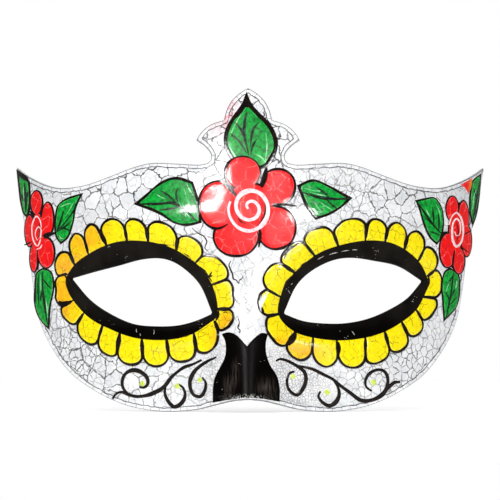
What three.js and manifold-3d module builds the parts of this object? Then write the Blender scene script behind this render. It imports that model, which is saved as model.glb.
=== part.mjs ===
// A half-face masquerade mask: a moulded shell with a felt lining and two ribbon pads inside it, and a
// thin film of paint on its front for each painted motif.
//
// Millimetres, +Z up. The mask faces -Y, the wearer is on the +Y side, and +X is to the right as the
// mask is seen from the front. The origin is on the lining at the bridge of the nose, level with the
// inner corners of the eyes.
//
// Every layer is cut out flat, as card is, and then bent onto the moulded form. A flat point is a
// Vector2: x across the mask and y for the height above the origin.

import * as THREE from "three";
import { mergeVertices } from "three/addons/utils/BufferGeometryUtils.js";
import Module from "manifold-3d";

const wasm = await Module();
wasm.setup();

// ---- Driving dimensions ----

const shellThickness = 1.6;
const liningThickness = 1;
const filmThickness = 0.3;
const layerGap = 0.3; // between layers, and between motifs that meet
const rimMargin = 0.5; // bare rim outside the films
const liningInset = 3; // from the edge of the shell and of the eye holes
const liningTop = 56; // the finial isn't lined

const wrapRadius = 99.5; // the mask wraps round an upright cylinder
const leanRadius = 250; // and curves gently backwards above and below the eyes
// The nose stands out at the lower edge and falls to nothing at the bridge, where it is also narrower.
const noseForm = { height: 16, bridge: 12, foot: -34, narrow: 8, wide: 13, rise: 1.4 };
const socketDepth = 4; // how far the edges of the eye holes are set back
const socketWidth = 9;
const browSwell = { x: 40, z: 40, across: 26, up: 9, height: 2 };
const cheekSwell = { x: 44, z: -22, across: 22, up: 11, height: 2.5 };

const tipFlare = 2; // the right temple stands this much wider than the left one
const flareFoot = 22;
const templeStart = 60;

const ribbonPad = { width: 10, height: 18, thickness: 1.2, corner: 2, x: 83.5, z: 33 };

const noseGrid = { half: 17.5, step: 3.5 };
const sideStep = 7; // along the wrap
const gridEdge = 98.8;
const rowZones = [
  { from: -45, to: -12, step: 6.6 },
  { from: -12, to: 32, step: 6.2 },
  { from: 32, to: 95, step: 10.5 },
];
// How far apart an outline's points are.
const steps = { outline: 4, mask: 3.5, petal: 3.5, motif: 3, stroke: 3, bud: 2 };
const fewestSteps = 6;
const fewestSides = 12;
const foldShare = 0.9; // a moved point that is nearer than this share of its move has folded over
const mergeTolerance = 1e-4;

const domeRadius = 120;
const blankHalf = 12;
const prismReach = 150;

// ---- Flat outlines ----

const at = (x, z) => new THREE.Vector2(x, z);

// A smooth run through hand-placed points, sampled evenly.
function smooth(points, { closed = false, step = steps.outline } = {}) {
  const knots = points.map(([x, z]) => new THREE.Vector3(x, z, 0));
  const curve = new THREE.CatmullRomCurve3(knots, closed, "centripetal");
  const count = Math.max(fewestSteps, Math.ceil(curve.getLength() / step));
  const sampled = curve.getSpacedPoints(count).map((p) => at(p.x, p.y));
  return closed ? sampled.slice(0, -1) : sampled;
}

// A closed outline of smooth runs that meet at corners.
function cornered(runs, step) {
  return runs.flatMap((run) => smooth(run, { step }).slice(0, -1));
}

function ellipse([x, z, halfWidth, halfHeight]) {
  const count = Math.max(fewestSides, Math.round(halfWidth + halfHeight));
  return Array.from({ length: count }, (_, i) => {
    const angle = (2 * Math.PI * i) / count;
    return at(x + halfWidth * Math.cos(angle), z + halfHeight * Math.sin(angle));
  });
}

// A stroke of the brush along a run, thickest in the middle and thinner at its ends.
function stroke(points, width, endShare = 0.55) {
  const run = smooth(points, { step: steps.stroke });
  const side = (sign) =>
    run.map((p, i) => {
      const before = run[Math.max(i - 1, 0)];
      const after = run[Math.min(i + 1, run.length - 1)];
      const across = after.clone().sub(before).normalize().rotateAround(at(0, 0), Math.PI / 2);
      const fullness = endShare + (1 - endShare) * Math.sin((Math.PI * i) / (run.length - 1));
      return p.clone().addScaledVector(across, (sign * width * fullness) / 2);
    });
  return [...side(1), ...side(-1).reverse()];
}

function segmentDistance(point, a, b) {
  const line = new THREE.Line3(new THREE.Vector3(a.x, a.y, 0), new THREE.Vector3(b.x, b.y, 0));
  const from = new THREE.Vector3(point.x, point.y, 0);
  return from.distanceTo(line.closestPointToPoint(from, true, new THREE.Vector3()));
}

// Each side of a closed outline, as its two ends.
const sidesOf = (outline) => outline.map((a, i) => [a, outline[(i + 1) % outline.length]]);

const distanceTo = (point, outline) =>
  Math.min(...sidesOf(outline).map(([a, b]) => segmentDistance(point, a, b)));

function isInside(point, outline) {
  const crossed = sidesOf(outline).filter(([a, b]) => {
    const level = (point.y - a.y) / (b.y - a.y);
    return a.y > point.y !== b.y > point.y && point.x < a.x + level * (b.x - a.x);
  });
  return crossed.length % 2 === 1;
}

// The outline moved outwards by an amount, or inwards where the amount is negative. Points that the
// move folds over a neighbouring stretch are left out.
function grown(outline, amount) {
  const turn = Math.sign(THREE.ShapeUtils.area(outline));
  const moved = outline.map((p, i) => {
    const before = outline.at(i - 1);
    const after = outline[(i + 1) % outline.length];
    const along = after.clone().sub(before).normalize();
    return p.clone().add(at(along.y, -along.x).multiplyScalar(turn * amount));
  });
  return moved.filter((p) => distanceTo(p, outline) > Math.abs(amount) * foldShare);
}

const mirrored = (outline) => outline.map((p) => at(-p.x, p.y)).reverse();

// ---- The mask's outline and its eye holes ----

// Half of the outline, from the middle of the lower edge round the temple to the top of the finial.
const halfOutline = [
  [[0, -34], [6, -34.7], [13, -36.5], [19.5, -38.3], [26, -39.2], [33.5, -39.5], [43, -38.5],
    [51, -36.5], [61, -32], [72, -24.3], [80, -14], [85, -3.5], [88, 11.5], [90, 27], [93, 42.5],
    [95.5, 59.5]],
  [[95.5, 59.5], [90.5, 56], [82, 52], [76, 50.8], [66, 52], [56.5, 55.2], [45.5, 59.3],
    [39, 60.7], [28, 60.4], [18.5, 60.1], [15.4, 61.3], [14.9, 63.8], [17.5, 67.3], [21, 69.8]],
  [[21, 69.8], [18.7, 73.3], [15, 76.2], [9.8, 78]],
  [[9.8, 78], [8.7, 82], [6.8, 85.6], [3.6, 88.8], [0, 91]],
];

function flared(p) {
  const [tipX, tipZ] = halfOutline[0].at(-1);
  const rise = Math.max(0, p.y - flareFoot) / (tipZ - flareFoot);
  const temple = Math.max(0, p.x - templeStart) / (tipX - templeStart);
  return at(p.x + tipFlare * rise * temple, p.y);
}

const half = [...cornered(halfOutline, steps.mask), at(...halfOutline.at(-1).at(-1))];
const maskOutline = [...half.map(flared), ...mirrored(half).slice(1, -1)];

const eyeHoles = {
  left: cornered([
    [[-72.7, 14.2], [-62.8, 17], [-53, 19.5], [-43.5, 22], [-36, 22.5], [-30, 21], [-24, 17], [-19, 11.5],
      [-14, 0]],
    [[-14, 0], [-21, -3], [-28, -4.8], [-37, -5.2], [-47, -4.2], [-57.3, 0.2], [-65, 5.5],
      [-72.7, 14.2]],
  ]),
  right: cornered([
    [[14, 0], [19, 11], [23, 15.5], [29, 19.5], [35.5, 22], [42.5, 22.7], [51.5, 21.5], [61.7, 19.2],
      [71.8, 13.1]],
    [[71.8, 13.1], [65.6, 6.1], [57.9, 1.4], [48.7, -2.3], [39, -4], [30, -4], [22, -3], [14, 0]],
  ]),
};

// ---- The moulded form ----

const ease = (t) => THREE.MathUtils.smoothstep(t, 0, 1);

function nose(x, z) {
  const { height, bridge, foot, narrow, wide, rise } = noseForm;
  const down = Math.max(0, (bridge - z) / (bridge - foot));
  const halfWidth = narrow + (wide - narrow) * down;
  return height * down ** rise * Math.exp(-((x / halfWidth) ** 2));
}

function swell({ x: middle, z: level, across, up, height }, x, z) {
  return height * Math.exp(-(((Math.abs(x) - middle) / across) ** 2) - ((z - level) / up) ** 2);
}

function socket(x, z) {
  const hole = x < 0 ? eyeHoles.left : eyeHoles.right;
  const outside = isInside(at(x, z), hole) ? 0 : distanceTo(at(x, z), hole);
  return socketDepth * (1 - ease(outside / socketWidth));
}

function formDepth(x, z) {
  const wrap = wrapRadius - Math.sqrt(wrapRadius ** 2 - x ** 2);
  const lean = z ** 2 / (2 * leanRadius);
  const swells = swell(browSwell, x, z) + swell(cheekSwell, x, z);
  return wrap + lean - nose(x, z) - swells + socket(x, z);
}

const liningOuter = -(shellThickness + layerGap);
const liningInner = liningOuter - liningThickness;
const seatDepth = formDepth(0, 0) - liningInner;

// The point of the form under (x, z), moved out along the form's own normal.
function formPoint(x, z, out) {
  const reach = 0.05;
  const slopeX = (formDepth(x + reach, z) - formDepth(x - reach, z)) / (2 * reach);
  const slopeZ = (formDepth(x, z + reach) - formDepth(x, z - reach)) / (2 * reach);
  const normal = new THREE.Vector3(slopeX, -1, slopeZ).normalize();
  return new THREE.Vector3(x, formDepth(x, z) - seatDepth, z).addScaledVector(normal, out);
}

// ---- The grid that all layers share, so that they stay parallel ----

function evenly(from, to, step) {
  const count = Math.round((to - from) / step);
  return Array.from({ length: count + 1 }, (_, i) => from + ((to - from) * i) / count);
}

function columnLines() {
  const first = Math.asin(noseGrid.half / wrapRadius);
  const last = Math.asin(gridEdge / wrapRadius);
  const side = evenly(first, last, sideStep / wrapRadius).map((angle) => wrapRadius * Math.sin(angle));
  const middle = evenly(-noseGrid.half, noseGrid.half, noseGrid.step).slice(1, -1);
  return [...side.map((x) => -x).reverse(), ...middle, ...side];
}

const columns = columnLines();
const rows = [
  rowZones[0].from,
  ...rowZones.flatMap(({ from, to, step }) => evenly(from, to, step).slice(1)),
];

const cellBelow = (lines, value) =>
  THREE.MathUtils.clamp(lines.findLastIndex((line) => line <= value), 0, lines.length - 2);

// The layer's point over (x, z): each cell is two flat triangles between points of the form.
function layerPoint(x, z, out) {
  const i = cellBelow(columns, x);
  const j = cellBelow(rows, z);
  const a = (x - columns[i]) / (columns[i + 1] - columns[i]);
  const b = (z - rows[j]) / (rows[j + 1] - rows[j]);
  const corner = (di, dj) => gridPoint(i + di, j + dj, out);
  const turning = a > b ? corner(1, 0) : corner(0, 1);
  return corner(0, 0)
    .multiplyScalar(1 - Math.max(a, b))
    .addScaledVector(turning, Math.abs(a - b))
    .addScaledVector(corner(1, 1), Math.min(a, b));
}

const gridPoints = new Map();

function gridPoint(i, j, out) {
  const key = `${i} ${j} ${out}`;
  if (!gridPoints.has(key)) gridPoints.set(key, formPoint(columns[i], rows[j], out));
  return gridPoints.get(key).clone();
}

// ---- Solids ----

function solidOf(geometry) {
  const bare = geometry.clone();
  bare.deleteAttribute("normal");
  bare.deleteAttribute("uv");
  const merged = mergeVertices(bare, mergeTolerance);
  return new wasm.Manifold(
    new wasm.Mesh({
      numProp: 3,
      vertProperties: new Float32Array(merged.attributes.position.array),
      triVerts: new Uint32Array(merged.index.array),
    }),
  );
}

// A flat blank is a slab over the grid, domed and twisted a little so that both triangles of each cell
// stay separate facets while it is cut.
const dome = (x, z) => (x ** 2 + x * z + z ** 2) / (2 * domeRadius);

function span(lines, low, high) {
  const from = cellBelow(lines, low);
  return lines.slice(from, Math.max(cellBelow(lines, high), from) + 2);
}

function blankOver(box) {
  const across = span(columns, box.min[0], box.max[0]);
  const up = span(rows, box.min[2], box.max[2]);
  const position = [];
  for (const offset of [-blankHalf, blankHalf])
    for (const z of up) for (const x of across) position.push(x, dome(x, z) + offset, z);

  const wide = across.length;
  const tall = up.length;
  const node = (layer, i, j) => (layer * tall + j) * wide + i;
  const index = [];
  const quad = (a, b, c, d) => index.push(a, b, c, a, c, d);
  for (let j = 0; j < tall - 1; j++)
    for (let i = 0; i < wide - 1; i++) {
      quad(node(0, i, j), node(0, i + 1, j), node(0, i + 1, j + 1), node(0, i, j + 1));
      const [a, b, c, d] = [node(1, i, j), node(1, i + 1, j), node(1, i + 1, j + 1), node(1, i, j + 1)];
      index.push(a, c, b, a, d, c);
    }
  for (let i = 0; i < wide - 1; i++) {
    quad(node(1, i, 0), node(1, i + 1, 0), node(0, i + 1, 0), node(0, i, 0));
    quad(node(0, i, tall - 1), node(0, i + 1, tall - 1), node(1, i + 1, tall - 1), node(1, i, tall - 1));
  }
  for (let j = 0; j < tall - 1; j++) {
    quad(node(0, 0, j), node(0, 0, j + 1), node(1, 0, j + 1), node(1, 0, j));
    quad(node(1, wide - 1, j), node(1, wide - 1, j + 1), node(0, wide - 1, j + 1), node(0, wide - 1, j));
  }
  const geometry = new THREE.BufferGeometry();
  geometry.setAttribute("position", new THREE.Float32BufferAttribute(position, 3));
  return solidOf(geometry.setIndex(index));
}

// The flat cutter for an outline: a prism along Y.
function prism(outline) {
  const shape = new THREE.Shape(outline);
  const geometry = new THREE.ExtrudeGeometry(shape, { depth: 2 * prismReach, bevelEnabled: false });
  return solidOf(geometry.translate(0, 0, -prismReach).rotateX(Math.PI / 2));
}

const union = (solids) => solids.reduce((sum, next) => sum.add(next));
const prisms = (outlines, growth = 0) =>
  union(outlines.map((outline) => prism(growth ? grown(outline, growth) : outline)));

// Cuts a layer out of its blank and bends it onto the form between two distances from the form.
function bent(cutter, inner, outer) {
  const pieces = blankOver(cutter.boundingBox()).intersect(cutter).decompose();
  const flat = pieces.reduce((most, piece) => (piece.volume() > most.volume() ? piece : most));
  const { vertProperties, triVerts } = flat.getMesh();
  const position = new Float32Array(vertProperties.length);
  for (let i = 0; i < position.length; i += 3) {
    const [x, across, z] = vertProperties.subarray(i, i + 3);
    layerPoint(x, z, across < dome(x, z) ? outer : inner).toArray(position, i);
  }
  const geometry = new THREE.BufferGeometry();
  geometry.setAttribute("position", new THREE.BufferAttribute(position, 3));
  geometry.setIndex(new THREE.BufferAttribute(triVerts, 1));
  geometry.computeVertexNormals();
  return geometry;
}

// ---- Finishes ----

const finish = (color, roughness) => new THREE.MeshStandardMaterial({ color, roughness, metalness: 0 });

const finishes = {
  crackleWhite: finish(0xf2f2f3, 0.32),
  felt: finish(0x17161a, 0.95),
  ribbonPad: finish(0x24222a, 0.9),
  black: finish(0x1f1d1b, 0.35),
  yellow: finish(0xfbe50e, 0.35),
  red: finish(0xf51b22, 0.35),
  green: finish(0x0c9c3e, 0.35),
};

const mask = new THREE.Group();

function addPiece(name, geometry, material, parent = mask) {
  const mesh = new THREE.Mesh(geometry, material);
  mesh.name = name;
  parent.add(mesh);
  return mesh;
}

// ---- Shell, lining and ribbon pads ----

function shell() {
  const holes = prisms([eyeHoles.left, eyeHoles.right]);
  return bent(prism(maskOutline).subtract(holes), -shellThickness, 0);
}

function lining() {
  const field = prism(grown(maskOutline, -liningInset).filter((_, i) => i % 2));
  const foot = rows[0];
  const below = prism([
    at(-gridEdge, foot),
    at(gridEdge, foot),
    at(gridEdge, liningTop),
    at(-gridEdge, liningTop),
  ]);
  const holes = prisms([eyeHoles.left, eyeHoles.right], liningInset);
  return bent(field.intersect(below).subtract(holes), liningInner, liningOuter);
}

function padShape() {
  const { width, height, corner } = ribbonPad;
  const [right, top] = [width / 2, height / 2];
  const shape = new THREE.Shape();
  shape.moveTo(corner - right, -top);
  shape.absarc(right - corner, corner - top, corner, -Math.PI / 2, 0);
  shape.absarc(right - corner, top - corner, corner, 0, Math.PI / 2);
  shape.absarc(corner - right, top - corner, corner, Math.PI / 2, Math.PI);
  shape.absarc(corner - right, corner - top, corner, Math.PI, 1.5 * Math.PI);
  return shape;
}

// A flat pad on the inside of a temple, tangent to the lining and clear of it along its edges.
function addRibbonPad(side) {
  const { width, height, thickness, x, z } = ribbonPad;
  const sag = (width ** 2 / wrapRadius + height ** 2 / leanRadius) / 8;
  const geometry = new THREE.ExtrudeGeometry(padShape(), {
    depth: thickness,
    bevelEnabled: false,
    curveSegments: 3,
  });
  const near = formPoint(side * x, z, liningInner - layerGap - sag);
  const inwards = near.clone().sub(formPoint(side * x, z, 0)).normalize();
  const across = new THREE.Vector3(0, 0, 1).cross(inwards).normalize();
  const up = inwards.clone().cross(across);
  const name = side < 0 ? "ribbon_patch_left" : "ribbon_patch_right";
  const pad = addPiece(name, geometry, finishes.ribbonPad);
  pad.position.copy(near);
  pad.quaternion.setFromRotationMatrix(new THREE.Matrix4().makeBasis(across, up, inwards));
}

// ---- Painted motifs ----

const bands = {
  left: smooth(
    [[-73.5, 13.5], [-69.5, 20.2], [-63, 24.7], [-56.5, 27.7], [-50, 29.3], [-43.5, 29.5], [-37, 28.7],
      [-30.5, 26.7], [-24, 23], [-18.5, 18.5], [-14, 11.5], [-11.9, 3.5], [-12.5, -1.5], [-15.5, -4],
      [-21.5, -8], [-28.5, -10.2], [-37, -10.8], [-46.5, -9.7], [-56.2, -6.1], [-63.2, -2.4], [-69, 3.2],
      [-72.5, 8.5]],
    { closed: true },
  ),
  right: smooth(
    [[11.7, 0.5], [12.8, 7.5], [16.5, 14.5], [22.5, 20.5], [29, 25], [37, 27.8], [45, 29.4], [52, 29.5],
      [58.5, 28.2], [64.5, 25], [69.5, 20.2], [72.3, 13.5], [71, 7], [67.5, 1], [61, -4.1], [54.5, -7.6],
      [47, -9.8], [38, -10.9], [28.5, -10.2], [19.5, -7.9], [14, -3.8]],
    { closed: true },
  ),
};

// Petals round each eye, clockwise as seen from the front: where each one starts on the band, where it
// parts from the petal before it, and its apex. A petal ends along the side that the next one starts with.
const petalRows = {
  left: [
    [[-73.5, 16], [-77, 15], [-76.5, 24.5]], [[-70, 20], [-72, 24.5], [-70, 32.5]],
    [[-64, 23.5], [-66, 30.5], [-63.5, 36.5]], [[-57, 28], [-59.5, 33.5], [-55.5, 38.5]],
    [[-48.5, 29.5], [-49.5, 35], [-46.5, 38.5]], [[-40, 29.5], [-40.5, 34.5], [-36, 37.5]],
    [[-28.5, 26.5], [-28, 30.5], [-20.5, 30]], [[-20.5, 21], [-18, 23.5], [-9.5, 20.5]],
    [[-13.5, 12], [-8, 14], [-5.5, 7.5]], [[-11.5, 2], [-7, 2], [-5.5, -2.5]],
    [[-13, -3.5], [-11.5, -7], [-15.5, -15.5]], [[-21.5, -8.5], [-20.5, -15], [-25, -19.5]],
    [[-32.5, -11], [-31.5, -17], [-36, -21.5]], [[-42.5, -11], [-42, -18], [-46.5, -21]],
    [[-51.5, -8.5], [-52.5, -16.5], [-56.5, -17]], [[-58.5, -5], [-60.5, -12], [-64.5, -12.5]],
    [[-66.5, -0.5], [-69, -4.5], [-73, -3.5]], [[-71.5, 4.5], [-75.5, 2.5], [-78, 9.5]],
  ],
  right: [
    [[12.5, 0], [7.5, -1], [3.5, 5]], [[12.5, 7], [7, 10], [7, 17.5]],
    [[18, 17], [13, 20.5], [15.5, 26.5]], [[26.5, 23.5], [22, 29], [27.5, 35]],
    [[36, 27.5], [34, 33], [42, 38.5]], [[47, 29.5], [47.5, 36], [51, 38.5]],
    [[55, 29], [56, 34.5], [60, 37]], [[63, 26.5], [64, 31], [68.5, 33.5]],
    [[69, 22], [71.5, 27], [75.5, 25.5]], [[73, 15.5], [76, 18], [78.5, 11.5]],
    [[71, 6.5], [76, 6], [75.5, 0.5]], [[68, 1], [70.5, -3], [68.5, -9]],
    [[62, -4], [64.5, -9], [62.5, -15]], [[55, -8], [57, -15], [52.5, -20]],
    [[47, -10.5], [47, -19], [42.5, -22]], [[35.5, -10.5], [36, -18], [31, -21.5]],
    [[26, -9.5], [25.5, -16], [21, -19]], [[19, -7], [15, -13], [9.5, -10.5]],
  ],
};

const petalBulge = 0.17;
const ringFoot = 1.4; // the strip along the band that joins the petals

// A point out from the middle between two points of a petal, which rounds its outline there.
const shoulder = ([ax, az], [bx, bz]) => [
  (ax + bx) / 2 - petalBulge * (bz - az),
  (az + bz) / 2 + petalBulge * (bx - ax),
];

function petals(side) {
  const list = petalRows[side];
  return list.map(([foot, parting, apex], i) => {
    const [nextFoot, nextParting] = list[(i + 1) % list.length];
    const outer = [parting, shoulder(parting, apex), apex, shoulder(apex, nextParting), nextParting];
    return smooth([foot, ...outer, nextFoot], { step: steps.petal });
  });
}

// Roses are overlapping round petals: x, z, half width and half height of each one.
const roses = {
  centre: [[-2.2, 56.4, 7.6, 7.2], [12, 51, 7.4, 7.6], [11.3, 34.4, 8.2, 9], [-4.8, 31.2, 9.4, 8.6],
    [-12.2, 43.6, 8, 10], [0.4, 42, 11, 11]],
  left: [[-86, 44.8, 2.9, 5.3], [-81.2, 38, 2.9, 7.3], [-88.8, 33.5, 2.5, 6.9],
    [-81.8, 24.5, 3.9, 6.5], [-87, 22.4, 2.1, 6.1], [-85.4, 33, 3.5, 8]],
  right: [[82.9, 42.3, 2.9, 5.5], [87.6, 38.3, 2.7, 7.7], [88.9, 29.4, 2.5, 6.9],
    [80.8, 25.4, 3.7, 7.3], [85.5, 21.2, 2.9, 5.7], [84.4, 33, 3.4, 8.5]],
};

// Leaves have two sides that meet at the tip and at the foot.
const leaves = {
  top: [
    [[-0.6, 89.3], [-2.8, 84], [-6.2, 79.3], [-8.8, 74.8], [-9.8, 70], [-9, 65.5], [-5, 60], [2, 57]],
    [[2, 57], [8.5, 59.5], [11.2, 64], [12, 68.5], [11, 72.8], [8.6, 76.8], [4.8, 80.6], [1.5, 84.5],
      [-0.6, 89.3]],
  ],
  centreLeft: [
    [[-46, 44], [-40.5, 48.5], [-34.5, 53.3], [-28.5, 55], [-22, 53]],
    [[-22, 53], [-19.5, 45], [-18.5, 36.5]],
    [[-18.5, 36.5], [-24, 35.2], [-29.5, 36.2], [-35.5, 39.8], [-46, 44]],
  ],
  centreRight: [
    [[19.5, 51.5], [26, 54], [32, 51.8], [42, 46.5]],
    [[42, 46.5], [38, 43], [33.5, 40], [27, 37.6]],
    [[27, 37.6], [23, 43], [19.5, 51.5]],
  ],
  leftTip: [
    [[-95, 58.7], [-94.2, 52], [-93.2, 45], [-91.6, 40], [-89.6, 38.6]],
    [[-89.6, 38.6], [-88.6, 43], [-88.6, 49], [-89.6, 54.8], [-95, 58.7]],
  ],
  leftInner: [
    [[-66.5, 48.7], [-73.5, 46.6], [-77.3, 43.5], [-78.4, 37], [-78, 31], [-75.8, 27.8]],
    [[-75.8, 27.8], [-72.6, 30.5], [-70.5, 36.5], [-69.2, 43], [-66.5, 48.7]],
  ],
  leftLower: [
    [[-80.5, -6.9], [-84.8, -2.5], [-87, 3.6], [-87, 10], [-86, 16.5], [-83, 18.6]],
    [[-83, 18.6], [-79.6, 16.8], [-78.4, 10.5], [-79.8, 3], [-80.5, -6.9]],
  ],
  rightTip: [
    [[95.8, 57.5], [92, 54.2], [90.3, 48], [90.3, 41], [91.6, 34.7]],
    [[91.6, 34.7], [93.6, 40], [95, 48], [95.8, 57.5]],
  ],
  rightInner: [
    [[67.5, 45.7], [71.5, 46.6], [75.5, 46.9], [78.5, 43.2], [79.5, 37], [78.6, 31], [76.5, 27.6]],
    [[76.5, 27.6], [73.4, 30.4], [70.6, 36.5], [69, 42], [67.5, 45.7]],
  ],
  rightLower: [
    [[79.2, -3.6], [78.6, 4], [78.3, 11], [79.6, 17], [82, 18.5]],
    [[82, 18.5], [85.6, 15.8], [86.3, 10], [84.8, 2.5], [79.2, -3.6]],
  ],
};

const nosePatchRuns = [
  [[-14, -35.4], [-14, -30], [-13.2, -25.4], [-11, -21], [-9.3, -17.5], [-8.8, -14], [-9.2, -10.5],
    [-10.5, -8]],
  [[-10.5, -8], [-8, -7.3], [-5.2, -8], [-2.6, -10.3], [-0.4, -12.8]],
  [[-0.4, -12.8], [2.4, -9.7], [5.4, -7.6], [8, -7.9]],
  [[8, -7.9], [7.1, -11.5], [7.3, -16], [8.9, -20.5], [11.5, -24.7], [12.6, -29.5], [12.6, -35]],
  [[12.6, -35], [6.5, -33.9], [0, -33.3], [-7, -34.1], [-14, -35.4]],
];

const budRuns = [
  [[86.5, 52.2], [91.6, 55]],
  [[91.6, 55], [91.2, 51.5], [89.9, 48.6]],
  [[89.9, 48.6], [88.6, 50.8], [86.5, 52.2]],
];

const strokeWidth = 1.6;
const strokes = {
  leftOuter: [
    [[-54.5, -34.3], [-53, -32.2], [-51, -31.5], [-48, -32.5], [-44.5, -33.2], [-39.5, -32.4],
      [-34, -29.5], [-30.5, -25.2], [-26, -21.6], [-21.8, -20], [-18.5, -18.4]],
    [[-48, -32.5], [-50.3, -29.5], [-50.3, -26], [-48.5, -23.5], [-46, -22.6], [-43, -23.3],
      [-40.5, -25.6], [-40.2, -28], [-41.6, -29.5], [-43.5, -29.4]],
    [[-33, -28.8], [-33.3, -31.8], [-32, -35], [-29.6, -37.2], [-26.9, -36], [-25.2, -32.8],
      [-26, -29.6], [-28.2, -28]],
  ],
  leftInner: [
    [[-12.6, -17.2], [-17, -19.4], [-21, -22.5], [-23.1, -26.4], [-23, -30], [-21.5, -32.5],
      [-19, -33], [-17.2, -30.4], [-17, -27.2], [-18.3, -25.3]],
  ],
  right: [
    [[11.1, -18.8], [12.8, -18], [15.6, -18.7], [20, -21.1], [22.5, -23.2], [23.2, -26.2],
      [22.1, -29.7], [19.8, -32.4], [18, -31.9], [16, -29.6], [15.6, -26.2], [16.6, -23.7], [18.5, -23]],
    [[19.5, -20.6], [25.5, -22], [30.5, -24.4], [34, -26.2], [37, -28.7], [41, -31.7], [45, -34.6],
      [47.5, -35], [51, -34.3], [54.6, -31.9], [56.1, -28.5], [56, -25.2], [54.5, -23], [52, -22.5],
      [48.6, -24.1], [47.1, -27], [47.5, -29.4], [49.6, -31]],
    [[34, -26.2], [36.1, -29.5], [36.5, -32.6], [35, -35.6], [32.4, -36.8], [29.9, -35.5],
      [28.2, -33], [29, -31]],
    [[54.6, -31.9], [57, -29.3], [59, -27.7], [61.3, -27.6]],
  ],
};

const strokeOutlines = (group) => strokes[group].map((points) => stroke(points, strokeWidth));
const roseOutlines = (name) => roses[name].map(ellipse);
const leafOutline = (name) => [cornered(leaves[name], steps.motif)];

// Each motif's outlines, and the motifs that are painted over it.
const motifs = {
  centre_rose: {
    outlines: roseOutlines("centre"),
    finish: finishes.red,
    under: ["petal_ring_left", "petal_ring_right"],
  },
  rose_left: { outlines: roseOutlines("left"), finish: finishes.red, under: ["petal_ring_left"] },
  rose_right: { outlines: roseOutlines("right"), finish: finishes.red, under: ["petal_ring_right"] },
  leaf_top: { outlines: leafOutline("top"), finish: finishes.green, under: ["centre_rose"] },
  leaf_centre_left: {
    outlines: leafOutline("centreLeft"),
    finish: finishes.green,
    under: ["centre_rose", "petal_ring_left"],
  },
  leaf_centre_right: {
    outlines: leafOutline("centreRight"),
    finish: finishes.green,
    under: ["centre_rose", "petal_ring_right"],
  },
  leaf_left_tip: { outlines: leafOutline("leftTip"), finish: finishes.green, under: ["rose_left"] },
  leaf_left_inner: { outlines: leafOutline("leftInner"), finish: finishes.green, under: ["rose_left"] },
  leaf_left_lower: {
    outlines: leafOutline("leftLower"),
    finish: finishes.green,
    under: ["rose_left", "petal_ring_left"],
  },
  leaf_right_tip: {
    outlines: leafOutline("rightTip"),
    finish: finishes.green,
    under: ["rose_right", "tip_bud_right"],
  },
  leaf_right_inner: { outlines: leafOutline("rightInner"), finish: finishes.green, under: ["rose_right"] },
  leaf_right_lower: {
    outlines: leafOutline("rightLower"),
    finish: finishes.green,
    under: ["rose_right", "petal_ring_right"],
  },
  tip_bud_right: { outlines: [cornered(budRuns, steps.bud)], finish: finishes.red },
  nose_patch: {
    outlines: [cornered(nosePatchRuns, steps.motif)],
    finish: finishes.black,
    under: ["petal_ring_left", "petal_ring_right"],
  },
  scroll_left_outer: {
    outlines: strokeOutlines("leftOuter"),
    finish: finishes.black,
    under: ["petal_ring_left"],
  },
  scroll_left_inner: {
    outlines: strokeOutlines("leftInner"),
    finish: finishes.black,
    under: ["petal_ring_left", "nose_patch"],
  },
  scroll_right: {
    outlines: strokeOutlines("right"),
    finish: finishes.black,
    under: ["petal_ring_right", "nose_patch"],
  },
  petal_ring_left: {
    outlines: [...petals("left"), grown(bands.left, ringFoot)],
    cutouts: [bands.left],
    finish: finishes.yellow,
  },
  petal_ring_right: {
    outlines: [...petals("right"), grown(bands.right, ringFoot)],
    cutouts: [bands.right],
    finish: finishes.yellow,
  },
  eye_surround_left: { outlines: [bands.left], cutouts: [eyeHoles.left], finish: finishes.black },
  eye_surround_right: { outlines: [bands.right], cutouts: [eyeHoles.right], finish: finishes.black },
};

const paintedField = prism(grown(maskOutline, -rimMargin));

function film({ outlines, cutouts = [], under = [] }) {
  const covers = [...cutouts, ...under.flatMap((name) => motifs[name].outlines)];
  let cutter = prisms(outlines).intersect(paintedField);
  if (covers.length) cutter = cutter.subtract(prisms(covers, layerGap));
  return bent(cutter, layerGap, layerGap + filmThickness);
}

addPiece("mask_shell", shell(), finishes.crackleWhite);
addPiece("felt_lining", lining(), finishes.felt);
addRibbonPad(-1);
addRibbonPad(1);

const decoration = new THREE.Group();
mask.add(decoration);
for (const [name, motif] of Object.entries(motifs))
  addPiece(name, film(motif), motif.finish, decoration);

export default mask;
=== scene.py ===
"""A half-face masquerade mask: crackled white shell with painted flowers, a felt lining and two ribbon tabs.

Outlines are in millimetres on a flat plan: x across the mask and z upwards. Each painted motif is cut out
on the plan and bent onto the moulded form as thin closed sheets of paint. The mask faces -Y.
"""

import math

import bpy
import numpy as np
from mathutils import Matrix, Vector
from mathutils.geometry import delaunay_2d_cdt


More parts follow.
